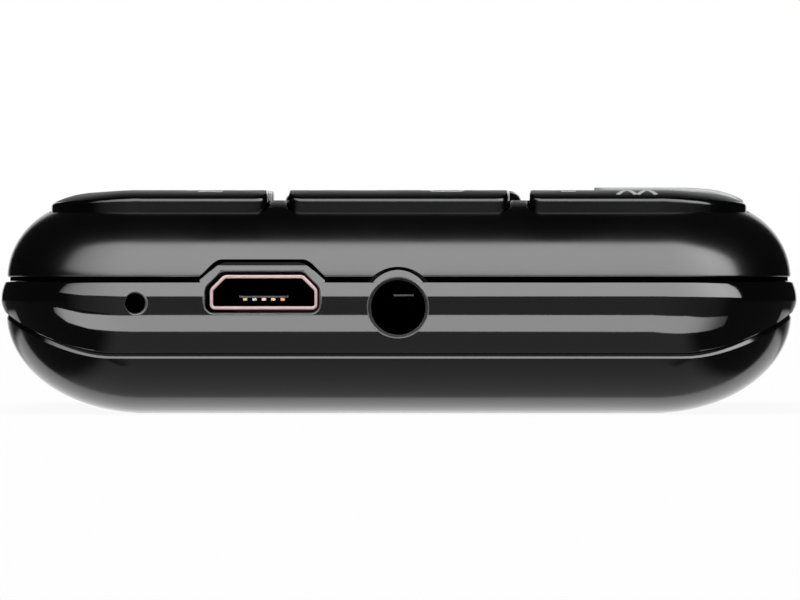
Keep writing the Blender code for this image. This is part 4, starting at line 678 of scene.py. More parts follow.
def end_cutter(outline_at, countersink, depth):
    """A cutter through the ports' end whose mouth is chamfered along the curved face."""
    mesh_data = bmesh.new()
    rows = []
    mouth = [(countersink + 0.25, None), (countersink + 0.03, -0.012)]
    for step in range(1, 8):
        angle = QUARTER_TURN * step / 7
        mouth.append((countersink * (1 - math.sin(angle)), depth * (1 - math.cos(angle))))
    for grown, offset in mouth:
        outline = outline_at(grown)
        if offset is None:
            rows.append(along_y(outline, -HALF_LENGTH - CUT_OVERRUN))
        else:
            rows.append([(x, end_surface_y(z) + offset, z) for x, z in outline])
    rows.append(along_y(outline_at(0.0), FRAME_WALL + CUT_OVERRUN - HALF_LENGTH))
    # the mouth's chamfer band takes the piece's second look, a light grey that paints a highlight on it
    loft(mesh_data, rows, bands=[0] + [1] * (len(rows) - 3) + [2])
    return build_mesh("end_cutter", mesh_data, [])


def usb_outline(grown, centre_x=USB_X):
    """The socket's shell as x and z: rounded below, chamfered above, grown all round."""
    half = USB_WIDTH / 2 + grown
    low = USB_BOTTOM_Z - grown
    high = USB_BOTTOM_Z + USB_HEIGHT + grown
    # a chamfer that keeps its distance when the outline grows
    chamfer = USB_TOP_CHAMFER + grown * (2 - math.sqrt(2))
    corners = ((centre_x - half, low), (centre_x + half, low), (centre_x + half, high - chamfer),
               (centre_x + half - chamfer, high), (centre_x - half + chamfer, high), (centre_x - half, high - chamfer))
    lower = max(0.08, 0.38 + grown)
    upper = max(0.08, 0.45 + grown)
    return rounded_polygon(corners, (lower, lower, upper, upper, upper, upper), 6)


def mid_frame(look):
    """The glossy chassis band with its deck, battery bay, bosses, lips and holes."""
    ring = stations()
    seams = [rear_seam_z(place) for place in ring]
    top_z = FRONT_SEAM_Z - SEAM_GAP / 2
    rows = []
    steps = 30
    for rise in (3, 2, 1):
        angle = QUARTER_TURN * rise / 3
        rows.append([plan_point(place, frame_inset(top_z - EDGE_ROUND, 0) + EDGE_ROUND * (1 - math.cos(angle)),
                                top_z - EDGE_ROUND + EDGE_ROUND * math.sin(angle)) for place in ring])
    for step in range(steps + 1):
        row = []
        for place, seam in zip(ring, seams):
            high = top_z - EDGE_ROUND
            low = seam + SEAM_GAP / 2 + EDGE_ROUND
            z = high + (low - high) * step / steps
            row.append(plan_point(place, frame_inset(z, seam), z))
        rows.append(row)
    for rise in (1, 2, 3):
        angle = QUARTER_TURN * rise / 3
        row = []
        for place, seam in zip(ring, seams):
            low = seam + SEAM_GAP / 2 + EDGE_ROUND
            row.append(plan_point(place, frame_inset(low, seam) + EDGE_ROUND * (1 - math.cos(angle)),
                                  low - EDGE_ROUND * math.sin(angle)))
        rows.append(row)
    rows.append([plan_point(place, FRAME_WALL, seam + SEAM_GAP / 2) for place, seam in zip(ring, seams)])
    rows.append([plan_point(place, FRAME_WALL, top_z) for place in ring])
    mesh_data = bmesh.new()
    loft(mesh_data, rows, closed=True)
    # the second look is a light grey painted on the ports' chamfers as a painted highlight
    made = build_mesh("chassis", mesh_data, [look, LOOKS["edge"], LOOKS["groove"]])
    combine(made, port_lip(usb_lip_half, USB_LIP_TOP_Z, look), "UNION")
    combine(made, port_lip(jack_lip_half, JACK_LIP_Z + JACK_LIP_RADIUS, look), "UNION")

    inset = FRAME_WALL / 2
    half = HALF_WIDTH - inset
    deck = [(-half, DECK_START_Y), (half, DECK_START_Y)] + [
        plan_point(place, inset, 0)[:2] for place in stations(11) if place[1] > 0]
    mesh_data = bmesh.new()
    loft(mesh_data, (lifted(deck, DECK_BOTTOM_Z), lifted(deck, DECK_TOP_Z)))
    combine(made, build_mesh("deck", mesh_data, [look]), "UNION")

    bay = (-BATTERY_HALF_WIDTH - BAY_CLEARANCE, BATTERY_HALF_WIDTH + BAY_CLEARANCE,
           BATTERY_START_Y - BAY_CLEARANCE, BATTERY_END_Y + BAY_CLEARANCE)
    wall = box_outline(bay[0] - BAY_WALL, bay[1] + BAY_WALL, bay[2] - BAY_WALL, bay[3] + BAY_WALL, 1.2)
    room = box_outline(*bay, 1.2)
    middle_z = (DECK_BOTTOM_Z + DECK_TOP_Z) / 2
    mesh_data = bmesh.new()
    loft(mesh_data, (lifted(wall, 1.4), lifted(wall, middle_z), lifted(room, middle_z), lifted(room, 1.4)), closed=True)
    combine(made, build_mesh("bay", mesh_data, [look]), "UNION")
    mesh_data = bmesh.new()
    for side in (-1, 1):
        for y in SCREW_YS:
            boss = circle(side * SCREW_X, y, 2.0, 32)
            loft(mesh_data, (lifted(boss, 5.6), lifted(boss, middle_z)))
    combine(made, build_mesh("bosses", mesh_data, [look]), "UNION")
    mesh_data = bmesh.new()
    block(mesh_data, (-5.0, 55.0, middle_z), (5.0, 58.2, 9.6))
    combine(made, build_mesh("pad", mesh_data, [look]), "UNION")

    mesh_data = bmesh.new()
    middle_y = (BATTERY_START_Y + BATTERY_END_Y) / 2
    block(mesh_data, (-8.4, middle_y - 7.9, DECK_BOTTOM_Z - 1), (8.4, middle_y + 7.9, DECK_TOP_Z + 1))
    block(mesh_data, (-5.4, DECK_START_Y - 1, 3.2), (5.4, bay[2] + 0.4, DECK_TOP_Z + 1))
    combine(made, build_mesh("windows", mesh_data, []), "DIFFERENCE")
    mesh_data = bmesh.new()
    for side in (-1, 1):
        for y in SCREW_YS:
            hole = circle(side * SCREW_X, y, 1.1, 24)
            loft(mesh_data, (lifted(hole, 4.6), lifted(hole, DECK_TOP_Z + 1)))
    combine(made, build_mesh("holes", mesh_data, []), "DIFFERENCE")
    combine(made, end_cutter(lambda grown: usb_outline(0.2 + grown), 0.14, 0.2), "DIFFERENCE")
    combine(made, end_cutter(lambda grown: circle(0, JACK_Z, JACK_HOLE_RADIUS + grown, 72), 0.15, 0.2), "DIFFERENCE")
    combine(made, end_cutter(lambda grown: circle(MIC_X, MIC_Z, MIC_HOLE_RADIUS + grown, 40), 0.22, 0.2), "DIFFERENCE")
    mesh_data = bmesh.new()
    block(mesh_data, (HALF_WIDTH - FRAME_WALL - 0.5, VOLUME_Y - 8.3, 7.45), (HALF_WIDTH + 1, VOLUME_Y + 8.3, 10.3))
    combine(made, build_mesh("volume_slot", mesh_data, []), "DIFFERENCE")
    mesh_data = bmesh.new()
    block(mesh_data, (23.8, VOLUME_Y - 8.8, 6.3), (HALF_WIDTH - FRAME_WALL, VOLUME_Y + 8.8, 9.1))
    combine(made, build_mesh("volume_pocket", mesh_data, []), "DIFFERENCE")
    smooth_by(made, band_normal)
    return made


def battery_cover(look):
    """The rounded back shell with its lip, speaker slots and thumbnail notch."""
    ring = stations()
    rims = [rear_seam_z(place) + COVER_RIM_RISE for place in ring]
    bevel_height = COVER_BEVEL[-1][1]
    steps = 26
    rows = [[plan_point(place, COVER_FLAT_INSET, 0) for place in ring]]
    for step in range(steps + 1):
        row = []
        for place, rim in zip(ring, rims):
            high = math.asin((COVER_ROUND_HEIGHT - (rim - bevel_height)) / COVER_ROUND_HEIGHT)
            low = math.radians(84)
            angle = low + (high - low) * step / steps
            row.append(plan_point(place, COVER_CENTRE_INSET - COVER_ROUND_WIDTH * math.cos(angle),
                                  COVER_ROUND_HEIGHT * (1 - math.sin(angle))))
        rows.append(row)
    for drawn_in, up in COVER_BEVEL[1:]:
        rows.append([plan_point(place, cover_inset(rim - bevel_height) + drawn_in, rim - bevel_height + up)
                     for place, rim in zip(ring, rims)])
    rows.append([plan_point(place, SKIRT_OUTER_INSET, rim) for place, rim in zip(ring, rims)])
    rows.append([plan_point(place, SKIRT_OUTER_INSET, rim + 0.08) for place, rim in zip(ring, rims)])
    rows.append([plan_point(place, SKIRT_INNER_INSET, rim + 0.08) for place, rim in zip(ring, rims)])
    inner_height = COVER_ROUND_HEIGHT - COVER_WALL
    inner_width = COVER_ROUND_WIDTH - COVER_WALL
    for step in range(9):
        row = []
        for place, rim in zip(ring, rims):
            high = math.acos(min(1.0, (COVER_CENTRE_INSET - SKIRT_INNER_INSET) / inner_width))
            angle = high + (math.radians(75) - high) * step / 8
            row.append(plan_point(place, COVER_CENTRE_INSET - inner_width * math.cos(angle),
                                  COVER_ROUND_HEIGHT - inner_height * math.sin(angle)))
        rows.append(row)
    rows.append([plan_point(place, COVER_FLAT_INSET, COVER_WALL) for place in ring])
    mesh_data = bmesh.new()
    loft(mesh_data, rows)
    made = build_mesh("back_shell", mesh_data, [look])
    mesh_data = bmesh.new()
    for index in range(6):
        x = (index - 2.5) * 1.9
        rows = []
        for grown, z in ((0.25, -1.0), (0.15, -0.02), (0.06, 0.04), (0.0, 0.14), (0.0, COVER_WALL + 1)):
            slot = box_outline(x - 0.45 - grown, x + 0.45 + grown, SPEAKER_Y - 5 - grown, SPEAKER_Y + 5 + grown,
                               0.4499 + grown, 8)
            rows.append(lifted(slot, z))
        loft(mesh_data, rows)
    combine(made, build_mesh("slots", mesh_data, []), "DIFFERENCE")
    mesh_data = bmesh.new()
    top_y = HALF_LENGTH - 0.4 - 0.8
    block(mesh_data, (-6, top_y, REAR_SEAM_SIDE_Z - 1), (6, HALF_LENGTH + 1, REAR_SEAM_SIDE_Z + 1))
    combine(made, build_mesh("notch", mesh_data, []), "DIFFERENCE")
    mesh_data = bmesh.new()
    for side in (-1, 1):
        for y in SCREW_YS:
            room = circle(side * SCREW_X, y, 2.3, 24)
            loft(mesh_data, (lifted(room, 5.3), lifted(room, DECK_BOTTOM_Z)))
    combine(made, build_mesh("boss_gaps", mesh_data, []), "DIFFERENCE")
    matte_base(made, LOOKS["deck"])
    smooth_by(made, cover_normal)
    return made


# A key's edge, from its wall in to its top: how far it is drawn in, and how far below the top that is
KEY_EDGE = ((0.0, 0.3), (0.0, 0.15), (0.012, 0.1), (0.038, 0.053), (0.076, 0.021), (0.135, 0.004), (0.22, 0.0))
KEY_TOP_SHARES = (0.96, 0.9, 0.8, 0.68, 0.55, 0.42, 0.3, 0.18, 0.07)


def key_top(x, y, proud):
    """Height of a key's top, which follows the crown and is a little fuller towards the front."""
    inset = inset_at(x, y)
    lift = KEY_FRONT_LIFT * min(1.0, max(0.0, (CROWN_CENTRE_INSET - inset) / (CROWN_CENTRE_INSET - KEYPAD_INSET)))
    fall = KEY_SIDE_FALL * max(0.0, (abs(x) - KEY_FALL_START) / (KEYPAD_HALF_WIDTH - KEY_FALL_START)) ** KEY_FALL_POWER
    return crown_z(inset) + proud + lift - fall


def top_of(name, limits, proud):
    """The height of one key's top anywhere on it; the end key has a shallow dish."""
    depth = END_KEY_DISH if name == "key_end" else 0.0
    low_x, high_x, low_y, high_y = limits

    def height(x, y):
        across = min(1.0, abs(x - (low_x + high_x) / 2) * 2 / (high_x - low_x))
        along = min(1.0, abs(y - (low_y + high_y) / 2) * 2 / (high_y - low_y))
        return key_top(x, y, proud) - depth * (1 - across ** 2) * (1 - along ** 2)
    return height


def key_piece(name, limits, radii, proud, look):
    """One key with upright walls and a rounded edge, its top following the crown."""
    height = top_of(name, limits, proud)
    rows = [lifted(key_outline(limits, radii, 0), KEY_BOTTOM_Z)]
    rows.append([(x, y, crown_at(x, y) - 0.3) for x, y in key_outline(limits, radii, 0)])
    for drawn_in, depth in KEY_EDGE:
        rows.append([(x, y, height(x, y) - depth) for x, y in key_outline(limits, radii, -drawn_in)])
    rim = key_outline(limits, radii, -KEY_EDGE[-1][0])
    middle_x = (limits[0] + limits[1]) / 2
    middle_y = (limits[2] + limits[3]) / 2
    for share in KEY_TOP_SHARES:
        row = []
        for x, y in rim:
            x, y = middle_x + (x - middle_x) * share, middle_y + (y - middle_y) * share
            row.append((x, y, height(x, y)))
        rows.append(row)
    mesh_data = bmesh.new()
    loft(mesh_data, rows)
    made = build_mesh("cap_" + name, mesh_data, [look])
    if name != "key_end":
        matte_top(made, LOOKS["key_top"], CROWN_BASE_Z)
    made.data.shade_smooth()
    made.data.set_sharp_from_angle(angle=math.radians(40))
    return made


def nav_ring(look):
    """The four-way ring with a well rounded edge."""
    limits = (-NAV_HALF_WIDTH, NAV_HALF_WIDTH, NAV_START_Y, NAV_START_Y + NAV_LENGTH)
    top_z = CROWN_TOP_Z + NAV_PROUD
    rows = [lifted(box_outline(*limits, NAV_CORNER, 16), KEY_BOTTOM_Z)]
    for step in range(13):
        angle = QUARTER_TURN * step / 12
        setback = NAV_ROUND * (1 - math.cos(angle))
        outline = box_outline(limits[0] + setback, limits[1] - setback, limits[2] + setback, limits[3] - setback,
                              NAV_CORNER - setback, 16)
        rows.append(lifted(outline, top_z - NAV_ROUND_HEIGHT * (1 - math.sin(angle))))
    mesh_data = bmesh.new()
    loft(mesh_data, rows)
    made = build_mesh("four_way_ring", mesh_data, [look])
    mesh_data = bmesh.new()
    rows = []
    for radius, z in ((7.35, KEY_BOTTOM_Z - 1), (7.35, KEY_BOTTOM_Z + 0.85), (OK_RADIUS + OK_GAP, KEY_BOTTOM_Z + 0.85),
                      (OK_RADIUS + OK_GAP, top_z - 0.2), (OK_RADIUS + OK_GAP + 0.04, top_z - 0.08),
                      (OK_RADIUS + OK_GAP + 0.18, top_z + 0.01), (OK_RADIUS + OK_GAP + 0.4, top_z + 0.5)):
        rows.append(lifted(circle(0, NAV_CENTRE_Y, radius, 72), z))
    loft(mesh_data, rows)
    combine(made, build_mesh("ok_hole", mesh_data, []), "DIFFERENCE")
    matte_top(made, LOOKS["key_top"], CROWN_TOP_Z)
    made.data.shade_smooth()
    made.data.set_sharp_from_angle(angle=math.radians(30))
    return made


def ok_key(look):
    """The round key in the ring's middle, with a shallow dish."""
    top_z = CROWN_TOP_Z + OK_PROUD
    rows = []
    for radius, z in ((OK_RADIUS, KEY_BOTTOM_Z), (OK_RADIUS, top_z - 0.25), (OK_RADIUS - 0.05, top_z - 0.1),
                      (OK_RADIUS - 0.16, top_z - 0.02), (OK_RADIUS - 0.32, top_z), (OK_RADIUS - 0.6, top_z - 0.02),
                      (3.2, top_z - 0.09), (2.2, top_z - 0.14), (1.1, top_z - 0.17), (0.2, top_z - 0.18)):
        rows.append(lifted(circle(0, NAV_CENTRE_Y, radius, 72), z))
    mesh_data = bmesh.new()
    loft(mesh_data, rows)
    made = build_mesh("cap_key_ok", mesh_data, [look])
    matte_top(made, LOOKS["key_top"], CROWN_TOP_Z)
    made.data.shade_smooth()
    made.data.set_sharp_from_angle(angle=math.radians(40))
    return made


def window_plate(ink, screen):
    """The display window: a black ink border round the screen that shows through it."""
    top_z = CROWN_TOP_Z
    limits = (-WINDOW_HALF_WIDTH, WINDOW_HALF_WIDTH, WINDOW_START_Y, WINDOW_END_Y)

    def outline(drawn_in):
        return box_outline(limits[0] + drawn_in, limits[1] - drawn_in, limits[2] + drawn_in, limits[3] - drawn_in,
                           max(WINDOW_CORNER - drawn_in, 0.4), 10)
    rows = [lifted(outline(0), top_z - WINDOW_THICKNESS)]
    for drawn_in, depth in ((0, 0.12), (0.03, 0.05), (0.1, 0.01), (0.18, 0.0), (3.4, 0.0)):
        rows.append(lifted(outline(drawn_in), top_z - depth))
    mesh_data = bmesh.new()
    made_rows = loft(mesh_data, rows, capped=False)
    mesh_data.faces.new(made_rows[0])
    mesh_data.faces.new(made_rows[-1]).material_index = 1
    made = build_mesh("window_plate", mesh_data, [ink, screen])
    made.data.shade_smooth()
    made.data.set_sharp_from_angle(angle=math.radians(30))
    return made


def usb_shell(look):
    """The socket's folded metal shell with a rounded mouth."""
    back_y = USB_FRONT_Y + USB_DEPTH
    rows = [along_y(usb_outline(0, SOCKET_X), back_y)]
    for grown, offset in ((0.0, 0.08), (-0.012, 0.03), (-0.045, 0.004), (-0.07, 0.0), (-0.18, 0.0),
                          (-USB_WALL + 0.045, 0.004), (-USB_WALL + 0.012, 0.03), (-USB_WALL, 0.08)):
        rows.append(along_y(usb_outline(grown, SOCKET_X), USB_FRONT_Y + offset))
    rows.append(along_y(usb_outline(-USB_WALL, SOCKET_X), back_y - USB_WALL))
    mesh_data = bmesh.new()
    made_rows = loft(mesh_data, rows, capped=False, bands=[0] * (len(rows) - 2) + [1])
    mesh_data.faces.new(made_rows[0])
    mesh_data.faces.new(made_rows[-1]).material_index = 1
    made = build_mesh("socket_shell", mesh_data, [look, LOOKS["groove"]])
    made.data.shade_smooth()
    made.data.set_sharp_from_angle(angle=math.radians(40))
    return made


CONTACT_LOOKS = (0, 1, 2, 0, 3)


def usb_inside(tongue_look, contact_looks):
    """The tongue with a highlight painted pale on its lower edge, and the five contacts under it."""
    back_y = USB_FRONT_Y + USB_DEPTH - USB_WALL - 0.1
    front_y = USB_FRONT_Y + 0.9
    mesh_data = bmesh.new()
    rows = []
    for half, low_z, high_z, y in ((1.72, 8.0, 8.7, back_y), (1.72, 8.0, 8.7, front_y + 0.2),
                                   (1.72, 8.05, 8.66, front_y + 0.06), (1.66, 8.17, 8.6, front_y)):
        corners = ((SOCKET_X - half, low_z), (SOCKET_X + half, low_z), (SOCKET_X + half, high_z),
                   (SOCKET_X - half, high_z))
        rows.append(along_y(rounded_polygon(corners, [0.06] * 4, 3), y))
    loft(mesh_data, rows)
    for face in mesh_data.faces:
        # the chamfer under the front edge is painted pale, a painted highlight
        places = [vert.co for vert in face.verts]
        if max(place.z for place in places) < 8.24 and min(place.y for place in places) < front_y + 0.05:
            face.material_index = 1
    tongue = build_mesh("socket_tongue", mesh_data, [tongue_look, LOOKS["tongue_edge"]])
    mesh_data = bmesh.new()
    for index, look in enumerate(CONTACT_LOOKS):
        x = SOCKET_X + (index - 2) * 0.65
        first = len(mesh_data.faces)
        block(mesh_data, (x - 0.14, front_y + 0.02, 7.85), (x + 0.14, back_y - 0.5, 8.02))
        mesh_data.faces.ensure_lookup_table()
        for face in mesh_data.faces[first:]:
            face.material_index = look
    contacts = build_mesh("socket_contacts", mesh_data, contact_looks)
    for made in (tongue, contacts):
        made.data.shade_smooth()
        made.data.set_sharp_from_angle(angle=math.radians(40))
    return tongue, contacts


def jack_barrel(look, ring_look):
    """The jack's body with a round bore that flares at its mouth, and a spring leaf inside it."""
    mesh_data = bmesh.new()
    block(mesh_data, (-3.2, PORT_SEAT_Y, JACK_Z - 2.45), (3.2, JACK_BODY_END_Y, JACK_Z + 2.45))
    body = build_mesh("jack_barrel", mesh_data, [look, LOOKS["groove"]])
    mesh_data = bmesh.new()
    rows = []
    for radius, y in ((2.05, PORT_SEAT_Y - 1), (1.92, PORT_SEAT_Y - 0.02), (1.84, PORT_SEAT_Y + 0.06),
                      (JACK_BORE_RADIUS, PORT_SEAT_Y + 0.16), (JACK_BORE_RADIUS, PORT_SEAT_Y + 11.8)):
        rows.append(along_y(circle(0, JACK_Z, radius, 72), y))
    loft(mesh_data, rows, material_index=1)
    combine(body, build_mesh("bore", mesh_data, []), "DIFFERENCE")
    body.data.shade_smooth()
    body.data.set_sharp_from_angle(angle=math.radians(30))
    mesh_data = bmesh.new()
    rows = []
    for depth, z in ((1.6, 8.93), (2.2, 8.84), (3.0, 8.62), (3.8, 8.37), (4.3, 8.26), (4.335, 8.14), (4.6, 8.14),
                     (5.1, 8.32), (5.8, 8.66)):
        y = PORT_SEAT_Y + depth
        rows.append([(-0.33, y, z), (1.05, y, z), (1.05, y + 0.06, z + 0.11), (-0.33, y + 0.06, z + 0.11)])
    loft(mesh_data, rows)
    for face in mesh_data.faces:
        if max(vert.co.z for vert in face.verts) > 8.45:
            face.material_index = 1
    spring = build_mesh("jack_leaf", mesh_data, [ring_look, LOOKS["copper"]])
    spring.data.shade_smooth()
    spring.data.set_sharp_from_angle(angle=math.radians(40))
    return body, spring


def battery_pack(case_look, band_look):
    """The battery: a rounded case. band_look is not used."""
    low_x, high_x, low_y, high_y = (-BATTERY_HALF_WIDTH, BATTERY_HALF_WIDTH, BATTERY_START_Y, BATTERY_END_Y)
    rows = []
    steps = 6
    radius = 0.9
    for step in range(steps + 1):
        angle = QUARTER_TURN * (1 - step / steps)
        drawn_in = radius * (1 - math.cos(angle))
        rows.append(lifted(box_outline(low_x + drawn_in, high_x - drawn_in, low_y, high_y, 1.2),
                           BATTERY_BOTTOM_Z + radius * (1 - math.sin(angle))))
    for step in range(steps + 1):
        angle = QUARTER_TURN * step / steps
        drawn_in = radius * (1 - math.cos(angle))
        rows.append(lifted(box_outline(low_x + drawn_in, high_x - drawn_in, low_y, high_y, 1.2),
                           BATTERY_TOP_Z - radius * (1 - math.sin(angle))))
    mesh_data = bmesh.new()
    loft(mesh_data, rows)
    case = build_mesh("battery_case", mesh_data, [case_look])
    case.data.shade_smooth()
    case.data.set_sharp_from_angle(angle=math.radians(35))
    return case


def screw_piece(index, x, y, look):
    """A countersunk cross-head screw, head down."""
    mesh_data = bmesh.new()
    rows = [lifted(circle(x, y, 0.35, 24), 4.85), lifted(circle(x, y, 1.1, 24), 4.52), lifted(circle(x, y, 1.42, 24), 4.56),
            lifted(circle(x, y, 1.5, 24), 4.7), lifted(circle(x, y, 1.5, 24), 5.3), lifted(circle(x, y, 0.8, 24), 5.31),
            lifted(circle(x, y, 0.8, 24), 10.5)]
    loft(mesh_data, rows)
    made = build_mesh(f"cross_screw_{index}", mesh_data, [look])
    mesh_data = bmesh.new()
    block(mesh_data, (x - 0.85, y - 0.14, 4.3), (x + 0.85, y + 0.14, 4.95))
    combine(made, build_mesh("slot_a", mesh_data, []), "DIFFERENCE")
    mesh_data = bmesh.new()
    block(mesh_data, (x - 0.14, y - 0.85, 4.3), (x + 0.14, y + 0.85, 4.95))
    combine(made, build_mesh("slot_b", mesh_data, []), "DIFFERENCE")
    made.data.shade_smooth()
    made.data.set_sharp_from_angle(angle=math.radians(35))
    return made


def volume_rocker(look):
    """The side rocker with a rounded face and a dip in its middle."""
    face_x = HALF_WIDTH - 0.05
    rows = []
    steps = 40
    for step in range(steps + 1):
        y = VOLUME_Y - 8 + 16 * step / steps
        from_end = min(step, steps - step) / steps * 16
        drop = 0.5 * max(0.0, 1 - from_end / 0.5) ** 2
        dip = 0.12 * math.exp(-((y - VOLUME_Y) / 1.6) ** 2)
        x = face_x - drop - dip
        root_x = face_x - 2.2
        rows.append([(root_x, y, 7.75), (x - 0.12, y, 7.75), (x - 0.03, y, 7.82), (x, y, 7.95), (x, y, 8.85),
                     (x - 0.03, y, 8.98), (x - 0.12, y, 9.05), (root_x, y, 9.05)])
    mesh_data = bmesh.new()
    loft(mesh_data, rows)
    made = build_mesh("volume_rocker", mesh_data, [look])
    mesh_data = bmesh.new()
    block(mesh_data, (25.05, VOLUME_Y - 8.5, 7.75), (25.46, VOLUME_Y + 8.5, 9.05))
    combine(made, build_mesh("flange", mesh_data, [look]), "UNION")
    made.data.shade_smooth()
    made.data.set_sharp_from_angle(angle=math.radians(35))
    return made


def print_on(name, shapes, base_at, look, proud=0.012):
    """Thin print: flat shapes laid on a curved top."""
    mesh_data = bmesh.new()
    for outline in shapes:
        points = dense(outline, 0.25)
        top = [(x, y, base_at(x, y) + proud) for x, y in points]
        bottom = [(x, y, base_at(x, y) - 0.03) for x, y in points]
        loft(mesh_data, (bottom, top))
    bmesh.ops.triangulate(mesh_data, faces=[face for face in mesh_data.faces if len(face.verts) > 4])
    return build_mesh(name, mesh_data, [look])


def glyph(text, size, centre_x, centre_y, base_at, look, name):
    """A digit or sign as a thin print on a key's top."""
    curve = bpy.data.curves.new(name, "FONT")
    curve.body = text
    curve.size = size
    curve.align_x = "CENTER"
    curve.align_y = "CENTER"
    curve.resolution_u = 6
    carrier = bpy.data.objects.new(name, curve)
    bpy.context.scene.collection.objects.link(carrier)
    flat = bpy.data.meshes.new_from_object(carrier.evaluated_get(bpy.context.evaluated_depsgraph_get()))
    bpy.data.objects.remove(carrier)
    mesh_data = bmesh.new()
    mesh_data.from_mesh(flat)
    bmesh.ops.remove_doubles(mesh_data, verts=mesh_data.verts[:], dist=1e-5)
    xs = [vert.co.x for vert in mesh_data.verts]
    ys = [vert.co.y for vert in mesh_data.verts]
    shift = Vector((centre_x - (min(xs) + max(xs)) / 2, centre_y - (min(ys) + max(ys)) / 2, 0))
    bmesh.ops.translate(mesh_data, vec=shift, verts=mesh_data.verts[:])
    low, high = min(ys) + shift.y, max(ys) + shift.y
    steps = max(1, round((high - low) / 0.3))
    for step in range(1, steps):
        bmesh.ops.bisect_plane(mesh_data, geom=mesh_data.verts[:] + mesh_data.edges[:] + mesh_data.faces[:],
                               plane_co=(0, low + (high - low) * step / steps, 0), plane_no=(0, 1, 0), dist=1e-5)
    made = bmesh.ops.extrude_face_region(mesh_data, geom=mesh_data.faces[:])
    top = {item for item in made["geom"] if isinstance(item, bmesh.types.BMVert)}
    for vert in mesh_data.verts:
        level = 0.012 if vert in top else -0.03
        vert.co.z = base_at(vert.co.x, vert.co.y) + level
    return build_mesh(name, mesh_data, [look])


def arc_band(centre, radius, width, start, end, steps=14):
    """The outline of a curved band."""
    outer = []
    inner = []
    for step in range(steps + 1):
        angle = math.radians(start + (end - start) * step / steps)
        outer.append((centre[0] + (radius + width / 2) * math.cos(angle), centre[1] + (radius + width / 2) * math.sin(angle)))
        inner.append((centre[0] + (radius - width / 2) * math.cos(angle), centre[1] + (radius - width / 2) * math.sin(angle)))
    return outer + inner[::-1]


def stroke(start, end, width):
    """The outline of a straight stroke."""
    along = (Vector(end) - Vector(start)).normalized()
    side = Vector((-along.y, along.x)) * width / 2
    return [tuple(Vector(start) - side), tuple(Vector(end) - side), tuple(Vector(end) + side), tuple(Vector(start) + side)]


def shader_of(name):
    """A new Principled material with its nodes, links and shader."""
    made = bpy.data.materials.new(name)
    made.use_nodes = True
    return made, made.node_tree.nodes, made.node_tree.links, made.node_tree.nodes["Principled BSDF"]


def textured(name, colour, roughness, spread=0.03, grain=0.0, grain_scale=9000.0, metallic=0.0, ior=1.5, coat=0.0,
             mottling=0.0, drift_scale=160.0, specular=0.5):
    """A Principled look whose roughness drifts a little, with an optional fine grain."""
    made, nodes, links, shader = shader_of(name)
    shader.inputs["Base Color"].default_value = (*colour, 1)
    shader.inputs["Metallic"].default_value = metallic
    shader.inputs["IOR"].default_value = ior
    shader.inputs["Specular IOR Level"].default_value = specular
    shader.inputs["Coat Weight"].default_value = coat
    shader.inputs["Coat Roughness"].default_value = 0.04
    places = nodes.new("ShaderNodeTexCoord")
    drift = nodes.new("ShaderNodeTexNoise")
    drift.inputs["Scale"].default_value = drift_scale
    drift.inputs["Detail"].default_value = 5
    links.new(places.outputs["Object"], drift.inputs["Vector"])
    level = nodes.new("ShaderNodeMapRange")
    level.inputs["From Min"].default_value = 0.3
    level.inputs["From Max"].default_value = 0.7
    level.inputs["To Min"].default_value = max(0.0, roughness - spread)
    level.inputs["To Max"].default_value = roughness + spread
    links.new(drift.outputs["Fac"], level.inputs["Value"])
    links.new(level.outputs["Result"], shader.inputs["Roughness"])
    if mottling:
        mix = nodes.new("ShaderNodeMix")
        mix.data_type = "RGBA"
        mix.inputs["A"].default_value = (*[value * (1 - mottling) for value in colour], 1)
        mix.inputs["B"].default_value = (*[min(1.0, value * (1 + mottling)) for value in colour], 1)
        links.new(drift.outputs["Fac"], mix.inputs["Factor"])
        links.new(mix.outputs["Result"], shader.inputs["Base Color"])
    if grain:
        fine = nodes.new("ShaderNodeTexNoise")
        fine.inputs["Scale"].default_value = grain_scale
        fine.inputs["Detail"].default_value = 3
        links.new(places.outputs["Object"], fine.inputs["Vector"])
        bump = nodes.new("ShaderNodeBump")
        bump.inputs["Strength"].default_value = grain
        bump.inputs["Distance"].default_value = 0.00002
        links.new(fine.outputs["Fac"], bump.inputs["Height"])
        links.new(bump.outputs["Normal"], shader.inputs["Normal"])
    return made


def board_look():
    """Green solder mask with fine copper tracks under it."""
    made, nodes, links, shader = shader_of("board_green")
    places = nodes.new("ShaderNodeTexCoord")
    tracks = nodes.new("ShaderNodeTexBrick")
    tracks.inputs["Scale"].default_value = 420
    tracks.inputs["Mortar Size"].default_value = 0.03
    tracks.inputs["Color1"].default_value = (0.01, 0.10, 0.035, 1)
    tracks.inputs["Color2"].default_value = (0.008, 0.075, 0.03, 1)
    tracks.inputs["Mortar"].default_value = (0.05, 0.20, 0.06, 1)
    links.new(places.outputs["Object"], tracks.inputs["Vector"])
    links.new(tracks.outputs["Color"], shader.inputs["Base Color"])
    shader.inputs["Roughness"].default_value = 0.35
    return made


